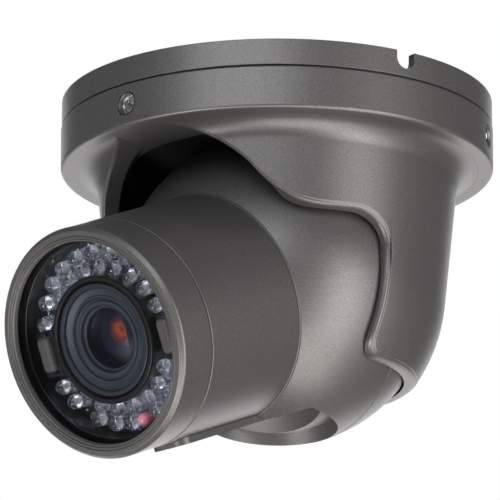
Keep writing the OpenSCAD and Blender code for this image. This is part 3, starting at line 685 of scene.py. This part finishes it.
def build_window():
    """Flat window, and the black ring painted behind its edge."""
    look = finishes()
    top = mm(sizes().window_front)
    rows = outline([(0, top - 3), (36.2, top - 3, 0.2), (36.2, top - 0.05, 0.2), (0, top - 0.05)], 3,
                   closed=False)
    write_piece("window", [lathe(rows, 160)], [look["glass"]], "head", HEAD, ["window_glass"])
    ring = outline([(33.34, 81.1, 0.1), (35.9, 81.1, 0.1), (36.2, top - 3.06, 0.1), (32.9, top - 3.06, 0.3),
                    (32.9, top - 4.6, 0.2), (33.34, top - 5, 0.1)], 3)
    write_piece("window_seal", [lathe(ring, 160)], [look["hood"]], "head", HEAD,
                ["window_gasket", "window_retainer"])


# ---------------------------------------------------------------- barrel


def build_cap():
    """Screwed front cap, turned from its profile: outer wall, rounded front rim and stepped opening."""
    size = sizes()
    hole, seam, front, radius = mm(size.window_r), mm(size.cap_seam), mm(size.barrel_front), mm(size.barrel_r)
    rows = outline([
        (hole + 2.45, seam + 0.18, 0.1), (radius - 0.12, seam + 0.18, 0.4), (radius + 0.1, front - 1.4, 1.3),
        (radius - 1.2, front, 0.6), (hole + 2.0, front, 0.15), (hole + 1.85, front - 0.4, 0.07),
        (hole + 1.65, front - 0.4, 0.07), (hole + 1.5, front - 0.12, 0.15), (hole + 1.0, front - 0.12, 0.15),
        (hole + 0.87, front - 0.6, 0.07), (hole + 0.67, front - 0.6, 0.07), (hole + 0.55, front - 0.35, 0.12),
        (hole + 0.12, front - 0.4, 0.15), (hole, front - 0.8, 0.1), (hole, front - 2.35, 0.1),
        (hole + 2.45, front - 2.35, 0.1)], 6)
    write_piece("cap", [lathe(rows, 256)], [finishes()["coat"]], "head", HEAD, ["front_cap"])


def build_tube():
    """Barrel, turned from its profile: straight wall, rounded edge at the seam and the spigot behind it."""
    size = sizes()
    seam, radius = mm(size.cap_seam), mm(size.barrel_r)
    rows = outline([
        (36, 23.5, 0.2), (radius, 23.5, 0.2), (radius, seam, 0.4), (36.4, seam, 0.1), (36.4, seam + 5.8, 0.3),
        (33.9, seam + 5.8, 0.3), (33.9, 79.3, 0.1), (29.8, 79.3, 0.1), (29.8, 76, 0.1), (36, 76, 0.1)], 5)
    write_piece("barrel", [lathe(rows, 256)], [finishes()["coat"]], "head", HEAD,
                ["barrel_tube"])


# ---------------------------------------------------------------- ball


def build_ball_trim():
    """Raised lip where the barrel leaves the ball, and the fine ridge where the two shells meet."""
    size = sizes()
    tube, ball = mm(size.barrel_r), mm(size.ball_r)
    lip_l = math.sqrt(ball ** 2 - tube ** 2)
    lip = outline([(tube + 0.03, lip_l - 1.2, 0), (tube + 0.62, lip_l - 1.2, 0.1),
                   (tube + 0.42, lip_l + 0.1, 0.2), (tube + 0.03, lip_l + 0.16, 0.1)], 5)
    ridge = outline([(ball - 0.3, 0.3, 0), (ball + 0.02, 0.3, 0.1), (ball + 0.09, 0.5, 0.08),
                     (ball + 0.02, 0.7, 0.1), (ball - 0.3, 0.7, 0)], 3)
    write_piece("ball_trim", [lathe(lip, 256), lathe(ridge, 256)], [finishes()["coat"]], "head", HEAD)


# ---------------------------------------------------------------- cover

COVER_CUT = {"front": 6.3, "shoulder": 12.5, "corner": 13.0, "drop": 33.0, "tip": 6.5, "lift": 41.0}
SLOPE = math.radians(5.86)
NECK_R = 56.0
BEND = 17
ARCH_END = 0.77
SIDE_START = 1.2


def profile_path(parts):
    """Table (s, r, z, nr, nz) of a profile, s being the length along it from its top."""
    rows = np.concatenate(parts)
    step = np.hypot(np.diff(rows[:, 0]), np.diff(rows[:, 1]))
    return np.column_stack([np.concatenate([[0], np.cumsum(step)]), rows])


def neck_outside():
    """The neck's outer profile: quarter hollow of the cove, straight slope, then the sphere."""
    ball, cove = mm(sizes().neck_sphere_r), mm(sizes().cove_r)
    tangent = ball * np.array([math.cos(SLOPE), -math.sin(SLOPE)])
    low = COVER_CUT["lift"] - cove
    middle = np.array([tangent[0] + (low - tangent[1]) * math.tan(SLOPE) + cove / math.cos(SLOPE), low])
    a = np.linspace(-math.pi / 2, -SLOPE, 200)
    hollow = np.column_stack([middle[0] - cove * np.cos(a), middle[1] - cove * np.sin(a),
                              np.cos(a), np.sin(a)])
    share = np.linspace(0, 1, 60)[1:, None]
    slope = np.concatenate([hollow[-1:, :2] * (1 - share) + tangent * share,
                            np.repeat([[math.cos(SLOPE), -math.sin(SLOPE)]], 59, 0)], 1)
    b = np.linspace(-SLOPE, -0.75, 200)[1:]
    round_part = np.column_stack([ball * np.cos(b), ball * np.sin(b), np.cos(b), np.sin(b)])
    return profile_path([hollow, slope, round_part])


def neck_inside():
    """The neck's bore: straight down to the tilt axis, then the socket's sphere."""
    bore = mm(sizes().socket_r)
    z = np.linspace(COVER_CUT["lift"], 0, 60)
    straight = np.column_stack([np.full(60, bore), z, np.full(60, -1.0), np.zeros(60)])
    b = np.linspace(0, -0.75, 200)[1:]
    socket = np.column_stack([bore * np.cos(b), bore * np.sin(b), -np.cos(b), -np.sin(b)])
    return profile_path([straight, socket])


def on_profile(path, angle, s):
    """Points and normals where the profile, turned by angle from the front, has run the length s."""
    r, z, nr, nz = (np.interp(s, path[:, 0], path[:, k]) for k in range(1, 5))
    x, y = np.sin(angle), -np.cos(angle)
    return np.stack([r * x, r * y, z], -1), unit(np.stack([nr * x, nr * y, nz], -1))


def run_to(path, z):
    """Length along a profile down to the height z."""
    return np.interp(-z, -path[:, 2], path[:, 0])


def evenly(points, count):
    """A line resampled to count points with equal steps along it."""
    step = np.concatenate([[0], np.cumsum(np.linalg.norm(np.diff(points, axis=0), axis=1))])
    at = np.linspace(0, step[-1], count)
    return np.column_stack([np.interp(at, step, points[:, k]) for k in range(points.shape[1])])


def cut_line(path, count=340):
    """Edge of the neck on the right, from the top of the arch to the middle of the back.

    In (angle from the front, height) it is the arch's circle, the shoulder's level, a quarter circle down
    to the upright edge, a small quarter circle and the level bottom edge.  Where the arch meets the
    shoulder a parabola with legs as long as BEND takes the corner off.
    """
    cut, arch = COVER_CUT, mm(sizes().arch_r)

    def radius(z):
        """Radius of the neck's outside at a height."""
        return np.interp(-z, -path[:, 2], path[:, 1])

    def from_side(forward, z):
        """(angle, height) of points forward of the pan axis: the angle's cosine is forward / radius."""
        return np.column_stack([np.arccos(np.clip(forward / radius(z), -1, 1)), z])

    top = math.acos(cut["lift"] / arch)
    a = np.linspace(top, math.acos(cut["shoulder"] / arch), 120)
    z = arch * np.cos(a)
    arch_part = np.column_stack([np.arcsin(arch * np.sin(a) / radius(z)), z])
    meet = arch_part[-1]
    forward = radius(cut["shoulder"]) * math.cos(meet[0])
    f = np.linspace(forward, cut["front"] + cut["corner"], 60)[1:]
    shoulder = from_side(f, np.full(59, cut["shoulder"]))
    a = np.linspace(math.pi / 2, math.pi, 60)[1:]
    r = cut["corner"]
    corner = from_side(cut["front"] + r + r * np.cos(a), cut["shoulder"] - r + r * np.sin(a))
    z = np.linspace(cut["shoulder"] - r, cut["tip"] - cut["drop"], 60)[1:]
    upright = from_side(np.full(59, cut["front"]), z)
    a = np.linspace(0, -math.pi / 2, 30)[1:]
    t = cut["tip"]
    tip = from_side(cut["front"] - t + t * np.cos(a), t - cut["drop"] + t * np.sin(a))
    back = np.linspace(tip[-1, 0], math.pi, 120)[1:]
    bottom = np.column_stack([back, np.full(119, -cut["drop"])])
    line = np.concatenate([arch_part, shoulder, corner, upright, tip, bottom])
    unrolled = [NECK_R, 1.0]
    away = np.linalg.norm(line * unrolled - meet * unrolled, axis=1)
    index = np.arange(len(line))
    first = index[(index < 119) & (away > BEND)].max()
    last = index[(index > 119) & (away > BEND)].min()
    u = np.linspace(0, 1, 40)[:, None]
    bend = (1 - u) ** 2 * line[first] + 2 * u * (1 - u) * meet + u ** 2 * line[last]
    line = np.concatenate([line[:first], bend, line[last + 1:]])
    return evenly(line * unrolled, count) / unrolled


def edge_rows(edge, void, wall, normal, depth, size, steps=5):
    """Edge between a surface and the wall of an opening, stepped: a small round, a slope down to a narrow
    strip, a larger round, then the wall.

    A section at a point of the edge lies in two directions, back along the surface (away from the void)
    and down the wall.  Each corner of its outline, given in parts of size, is a parabola.  All arrays hold
    one row per edge point.
    """
    corners = [((1.75, 0), None), ((1.45, 0), 0.3), ((1.2, 0.3), 0.16), ((0.62, 0.36), 0.3),
               ((0, 1.25), 0.62)]
    spots = [np.array(spot)[None] * size[:, None] for spot, _ in corners]
    ends = spots + [spots[-1] + [[0, 1.0]] * size[:, None]]
    places, ways = [spots[0][None]], [(spots[1] - spots[0])[None]]
    u = np.linspace(0, 1, steps)[:, None, None]
    for i in range(1, len(corners)):
        leg = corners[i][1] * size[:, None]
        a = ends[i] + unit(ends[i - 1] - ends[i]) * leg
        b = ends[i] + unit(ends[i + 1] - ends[i]) * leg
        places.append((1 - u) ** 2 * a + 2 * u * (1 - u) * ends[i] + u ** 2 * b)
        ways.append(2 * (1 - u) * (ends[i] - a) + 2 * u * (b - ends[i]))
    share = np.linspace(0, 1, 8)[1:, None]
    q = places[-1][-1, :, 1] * (1 - share) + np.maximum(depth, places[-1][-1, :, 1] + 0.1) * share
    places.append(np.stack([np.zeros_like(q), q], -1))
    ways.append(np.stack([np.zeros_like(q), np.ones_like(q)], -1))
    place, way = np.concatenate(places), np.concatenate(ways)
    points = edge - place[..., :1] * void + place[..., 1:] * wall
    along = unit(np.gradient(edge, axis=0))
    forward = -way[..., :1] * void + way[..., 1:] * wall
    normals = unit(np.cross(along[None], forward))
    flip = np.sign((normals[0] * normal).sum(-1))[None, :, None]
    return points, normals * flip


def spread(angle, line):
    """Directions for the neck's top: those of the edge down to the shoulder, then even steps to the back."""
    side = np.argmax(angle > SIDE_START)
    length = np.concatenate([[0], np.cumsum(np.hypot(np.diff(line[:, 0]) * NECK_R, np.diff(line[:, 1])))])
    rest = (length[side:] - length[side]) / (length[-1] - length[side])
    ease = 0.35 * rest + 0.65 * rest ** 2
    return np.concatenate([angle[:side], angle[side] + (math.pi - angle[side]) * ease])


def neck_half():
    """Patches of the neck's right half: outer sheet, edge, wall, bore and the hidden top."""
    outside, inside = neck_outside(), neck_inside()
    line = cut_line(outside)
    edge, normal = on_profile(outside, line[:, 0], run_to(outside, line[:, 1]))
    edge[-1, 0] = 0
    along = unit(np.gradient(edge, axis=0))
    void = unit(np.cross(along, normal))
    arch_middle = np.array([0, -50.0, 0])
    void *= np.sign(((arch_middle - edge) * void).sum(-1))[:, None] * np.ones((1, 3))
    low = np.argmax(line[:, 0] > SIDE_START)
    front_below = np.array([0, -90.0, -60])
    void[low:] *= np.where(((front_below - edge[low:]) * void[low:]).sum(-1) < 0, -1, 1)[:, None]
    length = np.concatenate([[0], np.cumsum(np.linalg.norm(np.diff(edge, axis=0), axis=1))])
    meet = length[np.argmin(np.abs(line[:, 0] - ARCH_END) + (line[:, 1] < 0) * 9)]

    def ease(start, end):
        """0 before start and 1 after end along the edge, with a cubic between that is level at both."""
        x = np.clip((length - start) / (end - start), 0, 1)[:, None]
        return x * x * (3 - 2 * x)

    radial = unit(edge * [1, 1, 0])
    side = ease(meet - BEND, meet + BEND)
    wall = unit(np.array([0, 1.0, 0]) * (1 - side) + np.array([-1.0, 0, 0]) * side)
    turn = ease(meet + 18, meet + 45)
    wall = unit(wall * (1 - turn) - radial * turn)
    bore = np.where(edge[:, 2] > 0, mm(sizes().socket_r),
                    np.sqrt(np.maximum(mm(sizes().socket_r) ** 2 - edge[:, 2] ** 2, 0)))
    half_way = (edge * wall)[:, :2].sum(-1)
    depth = -half_way - np.sqrt(np.maximum(half_way ** 2 - (edge[:, :2] ** 2).sum(-1) + bore ** 2, 0))
    size = (0.75 + 0.3 * ease(meet - 16, meet + 16)[:, 0]) * np.clip(length / 8, 0.02, 1)
    points, normals = edge_rows(edge, void, wall, normal, depth, size)
    top_angle = np.arctan2(points[0, :, 0], -points[0, :, 1])
    top_run = run_to(outside, points[0, :, 2])
    top_angle[-1] = math.pi
    upper = spread(top_angle, line)
    upper[0] = top_angle[0] = math.asin(points[0, 0, 0] / outside[0, 1])
    top_run[0] = 0
    share = np.linspace(0, 1, 60)[:, None] ** 1.6
    sheet, sheet_normals = on_profile(outside, upper * (1 - share) + top_angle * share, top_run * share)
    points[0] = sheet[-1]
    low_angle = np.arctan2(points[-1, :, 0], -points[-1, :, 1])
    low_angle[-1] = math.pi
    low_run = run_to(inside, points[-1, :, 2])
    share = np.linspace(0, 1, 30)[:, None]
    bore_top = spread(low_angle, line)
    bore_sheet, bore_normals = on_profile(inside, bore_top * (1 - share) + low_angle * share, low_run * share)
    points[-1] = bore_sheet[-1]
    lift = np.clip(length / 3, 0, 1)[:, None] * [0, 0, 0.3]
    top = np.stack([sheet[0], sheet[0] + lift, bore_sheet[0] + lift, bore_sheet[0]])
    up = np.zeros_like(top)
    up[..., 2] = 1
    return [patch(sheet, sheet_normals), patch(points, normals), patch(bore_sheet, bore_normals),
            patch(top, up)]


def mirrored(patches):
    """The same patches on the other side, x turned to -x."""
    flip = np.array([-1.0, 1, 1])
    return [(points * flip, normals * flip, quads, slot) for points, normals, quads, slot in patches]


def rim_patches():
    """Rim of the cover, turned from its profile, with a window left for each set screw."""
    size = sizes()
    outer, low, hole = mm(size.cover_r), -mm(size.underside), 49.1
    top = -mm(size.cover_top)
    rows = outline([(outer, SCREW_BAND[1]), (outer, top, 0.5), (outer - 3, top, 0.4),
                    (outer - 3, low + 3, 0.5), (hole, low + 3, 0.5), (hole, low, 0.5), (outer, low, 1.2),
                    (outer, SCREW_BAND[0])], 6, closed=False)
    patches = [lathe(rows, 240)]
    band = np.array([[outer, z, 1, 0] for z in np.linspace(*SCREW_BAND, 9)])
    step = math.radians(1.5)
    for place in SCREW_DIRECTIONS:
        first = math.radians(place - 90)
        patches.append(patch(*turned(band, 74, first + 3 * step, first + 77 * step)))
        patches += screw_window(place, outer, 3 * step * outer, 5.7)
    return patches


def screw_window(place, outer, half_w, half_h):
    """Square of the wall around a threaded hole: lines from the square to the hole's lip, then the thread.

    Everything is bent onto the wall's cylinder: a point x along the rim drops by the arc's height.
    """
    a = np.linspace(0, TURN, 97)
    a[-1] = 0
    circle = np.stack([np.cos(a), np.sin(a)], -1)
    square = circle / np.abs(circle).max(-1, keepdims=True) * [half_w, half_h]
    flat = ring_to_hole(square, circle * 3.75, 6)
    flat = np.concatenate([flat, np.zeros((*flat.shape[:2], 1))], -1)
    lip = outline([(4.5, 0), (3.55, 0, 0.3), (3.0, -0.8, 0.15), (3.0, -1.2)], 4, closed=False)
    lip[0, 0] = 3.75
    thread = [[3.0, -1.2, -0.8, 0.6]]
    for turn in range(5):
        h = -1.2 - turn * 0.36
        thread += [[2.78, h - 0.18, -0.8, 0.6], [2.78, h - 0.18, -0.8, -0.6], [3.0, h - 0.36, -0.8, -0.6],
                   [3.0, h - 0.36, -0.8, 0.6]]
    turn = facing(place)
    patches = []
    lathed = [lathe(inside_out(lip), 96), lathe(np.array(thread), 96, 1)]
    for points, normals, quads, slot in [patch(flat, np.broadcast_to([0, 0, 1.0], flat.shape)), *lathed]:
        x = points[:, 0]
        around_rim = x / outer
        height = (outer + points[:, 2])
        bent = np.stack([height * np.sin(around_rim), points[:, 1], height * np.cos(around_rim)], -1)
        c, s = np.cos(around_rim), np.sin(around_rim)
        spun = np.stack([normals[:, 0] * c + normals[:, 2] * s, normals[:, 1],
                         normals[:, 2] * c - normals[:, 0] * s], -1)
        patches.append((bent @ turn + [0, 0, SCREW_LEVEL], spun @ turn, quads, slot))
    return patches


def inside_out(rows):
    """A profile with its normals turned round, for the inside of a hole."""
    rows = rows.copy()
    rows[:, 2:] *= -1
    return rows


def build_cover():
    """Cover: the neck's right half, the same mirrored, and the rim turned around the pan axis."""
    look = finishes()
    half = neck_half()
    neck = [(points + PIVOT, normals, quads, slot) for points, normals, quads, slot in half + mirrored(half)]
    write_piece("cover", neck + rim_patches(), [look["coat"], look["steel"]], "turret", BASE,
                ["turret_cover"])


def build_set_screws():
    """Set screws deep in their holes: chamfered end with a six-sided socket, whose wall steps inwards."""
    look = finishes()
    patches = []
    a = np.linspace(0, TURN, 61)
    a[-1] = 0
    circle = np.stack([np.cos(a), np.sin(a)], -1)
    six = 1.35 / np.cos((a + math.pi / 6) % (math.pi / 3) - math.pi / 6)[:, None] * circle
    for place in SCREW_DIRECTIONS:
        turn = facing(place)
        body = outline([(0, 67.4), (1.5, 67.4, 0.3), (1.5, 69, 0.1), (2.72, 69, 0.2), (2.72, 71.2, 0.35),
                        (2.2, 71.2)], 4, closed=False)
        face = ring_to_hole(circle * 2.2, six, 3)
        face = np.concatenate([face, np.full((*face.shape[:2], 1), 71.2)], -1)
        side = np.stack([six, six])
        side = np.concatenate([side, np.array([71.2, 69.8])[:, None, None] * np.ones((2, 61, 1))], -1)
        inward = np.concatenate([-np.stack([circle, circle]), np.zeros((2, 61, 1))], -1)
        floor = np.stack([six, six * 0])
        floor = np.concatenate([floor, np.full((2, 61, 1), 69.8)], -1)
        up = np.array([0, 0, 1.0])
        for each in (lathe(body, 60), patch(face, np.broadcast_to(up, face.shape)), patch(side, inward),
                     patch(floor, np.broadcast_to(up, floor.shape))):
            patches.append(moved(each, (0, 0, SCREW_LEVEL), turn))
    write_piece("set_screw_bodies", patches, [look["steel"]], "turret", BASE, ["set_screws"])


# ---------------------------------------------------------------- operators


class TURRET_OT_inner(bpy.types.Operator):
    """Finishes of the inner pieces that keep their CAD shape"""

    bl_idname = "turret.inner"
    bl_label = "Inner pieces"

    def execute(self, context):
        finish_cad_nodes()
        return {"FINISHED"}


class TURRET_OT_lamps(bpy.types.Operator):
    """Infrared lamps, light sensor, soft blocks and their board"""

    bl_idname = "turret.lamps"
    bl_label = "Lamps and board"

    def execute(self, context):
        build_lamps()
        build_light_sensor()
        build_blocks()
        build_lamp_board()
        return {"FINISHED"}


class TURRET_OT_lens(bpy.types.Operator):
    """Lens, hood and window"""

    bl_idname = "turret.lens"
    bl_label = "Lens and window"

    def execute(self, context):
        build_lens()
        build_window()
        return {"FINISHED"}


class TURRET_OT_cover(bpy.types.Operator):
    """Swivelling cover with its neck, and the set screws"""

    bl_idname = "turret.cover"
    bl_label = "Cover"

    def execute(self, context):
        build_cover()
        build_set_screws()
        return {"FINISHED"}


class TURRET_OT_barrel(bpy.types.Operator):
    """Barrel, its front cap, and the lip and ridge on the ball"""

    bl_idname = "turret.barrel"
    bl_label = "Barrel and cap"

    def execute(self, context):
        build_tube()
        build_cap()
        build_ball_trim()
        return {"FINISHED"}


def backdrop(name, centre, half, up, strength, colour_value):
    """A flat sheet centre + a * side + b * up, lit by itself so that it stays evenly pale."""
    side, up = np.array(half, float), np.array(up, float)
    corners = [np.array(centre) + a * side + b * up for a, b in ((-1, -1), (1, -1), (1, 1), (-1, 1))]
    mesh = bpy.data.meshes.new(name)
    mesh.from_pydata([list(map(float, c)) for c in corners], [], [(0, 1, 2, 3)])
    made = bpy.data.materials.new(name)
    made.use_nodes = True
    shader = made.node_tree.nodes["Principled BSDF"]
    shader.inputs["Base Color"].default_value = (*colour_value, 1)
    shader.inputs["Roughness"].default_value = 0.9
    shader.inputs["Emission Color"].default_value = (1, 1, 1, 1)
    shader.inputs["Emission Strength"].default_value = strength
    mesh.materials.append(made)
    sheet = bpy.data.objects.new(name, mesh)
    bpy.context.scene.collection.objects.link(sheet)
    return sheet


def softbox(name, azimuth, elevation, distance, width, height, watts, tint=(1, 1, 1)):
    """Area light aimed at the ball from a distance in metres: azimuth 0 is at -Y, 90 at +X."""
    a, e = math.radians(azimuth), math.radians(elevation)
    away = np.array([math.sin(a) * math.cos(e), -math.cos(a) * math.cos(e), math.sin(e)])
    lamp = bpy.data.lights.new(name, "AREA")
    lamp.shape = "RECTANGLE"
    lamp.size, lamp.size_y, lamp.energy, lamp.color = width, height, watts, tint
    spot = bpy.data.objects.new(name, lamp)
    bpy.context.scene.collection.objects.link(spot)
    back = Vector(away)
    right = Vector((0, 0, 1)).cross(back)
    right = (right if right.length > 1e-4 else Vector((1, 0, 0))).normalized()
    turn = Matrix((right, back.cross(right), back)).transposed().to_4x4()
    spot.matrix_world = Matrix.Translation(Vector(PIVOT * MM + away * distance)) @ turn
    return spot


EYE = np.array([1896.38, -2017.36, -819.86])
EYE_TURN = math.radians(43.23)
AIM_RIGHT, AIM_UP = -9.10, 13.17
LENS = 618.53


class TURRET_OT_stage(bpy.types.Operator):
    """Floor and backdrop that only light the object, soft studio light and the camera"""

    bl_idname = "turret.stage"
    bl_label = "Stage, light and camera"

    def execute(self, context):
        scene = context.scene
        scene.view_settings.view_transform = "Standard"
        scene.view_settings.look = "None"
        eye = EYE + PIVOT
        right = np.array([math.cos(EYE_TURN), math.sin(EYE_TURN), 0])
        ahead = unit(PIVOT - eye)
        up = np.cross(right, ahead)
        aim = PIVOT + AIM_RIGHT * right + AIM_UP * up
        back = Vector(eye - aim).normalized()
        side = Vector((0, 0, 1)).cross(back).normalized()
        lens = bpy.data.cameras.new("camera")
        lens.lens, lens.sensor_width, lens.clip_start, lens.clip_end = LENS, 36, 0.01, 50
        camera = bpy.data.objects.new("camera", lens)
        scene.collection.objects.link(camera)
        camera.matrix_world = Matrix.Translation(Vector(eye * MM)) @ Matrix(
            (side, back.cross(side), back)).transposed().to_4x4()
        scene.camera = camera
        world = bpy.data.worlds.new("studio")
        scene.world = world
        world.use_nodes = True
        nodes, links = world.node_tree.nodes, world.node_tree.links
        dim, bright = nodes["Background"], nodes.new("ShaderNodeBackground")
        for sky, strength in ((dim, 0.2), (bright, 1.0)):
            sky.inputs["Color"].default_value = (1, 1, 1, 1)
            sky.inputs["Strength"].default_value = strength
        path, both = nodes.new("ShaderNodeLightPath"), nodes.new("ShaderNodeMixShader")
        links.new(path.outputs["Is Camera Ray"], both.inputs["Fac"])
        links.new(dim.outputs["Background"], both.inputs[1])
        links.new(bright.outputs["Background"], both.inputs[2])
        links.new(both.outputs["Shader"], nodes["World Output"].inputs["Surface"])
        pale = (0.8, 0.8, 0.8)
        floor = backdrop("floor", (0, 0, -1.6), (6, 0, 0), (0, 6, 0), 0.0, (0.8, 0.8, 0.79))
        wall = backdrop("backdrop", np.array([-1.4, 1.5, 0.1]), 1.05 * right, (0, 0, 1.7), 1.35, pale)
        floor.visible_glossy = False
        floor.visible_camera = wall.visible_camera = False
        softbox("key", 97, -18, 1.7, 0.9, 1.7, 26)
        softbox("low", 80, -66, 1.6, 1.4, 1.2, 20, (1.0, 0.97, 0.92))
        softbox("front", 24, 20, 1.9, 1.9, 0.7, 16, (0.95, 0.97, 1.0))
        softbox("face", -12, -44, 1.7, 0.9, 0.6, 19)
        return {"FINISHED"}


class TURRET_PT_panel(bpy.types.Panel):
    """Sizes, finishes and build steps of the camera"""

    bl_idname = "TURRET_PT_panel"
    bl_label = "Turret camera"
    bl_space_type = "VIEW_3D"
    bl_region_type = "UI"
    bl_category = "Turret camera"

    def draw(self, context):
        layout = self.layout
        for group in (context.scene.turret_sizes, context.scene.turret_finish):
            for key in group.bl_rna.properties.keys():
                if key not in {"rna_type", "name"}:
                    layout.prop(group, key)
        for operator in OPERATORS:
            layout.operator(operator.bl_idname)


OPERATORS = [
    TURRET_OT_inner,
    TURRET_OT_lamps,
    TURRET_OT_lens,
    TURRET_OT_barrel,
    TURRET_OT_cover,
    TURRET_OT_stage,
]
CLASSES = [TurretSizes, TurretFinish, *OPERATORS, TURRET_PT_panel]


def register():
    """Adds the classes and their properties."""
    for each in CLASSES:
        bpy.utils.register_class(each)
    bpy.types.Scene.turret_sizes = bpy.props.PointerProperty(type=TurretSizes)
    bpy.types.Scene.turret_finish = bpy.props.PointerProperty(type=TurretFinish)


def unregister():
    """Removes them again, in the opposite order."""
    del bpy.types.Scene.turret_finish
    del bpy.types.Scene.turret_sizes
    for each in reversed(CLASSES):
        bpy.utils.unregister_class(each)


def main():
    register()
    for operator in OPERATORS:
        group, step = operator.bl_idname.split(".")
        getattr(getattr(bpy.ops, group), step)()


if __name__ == "__main__":
    main()
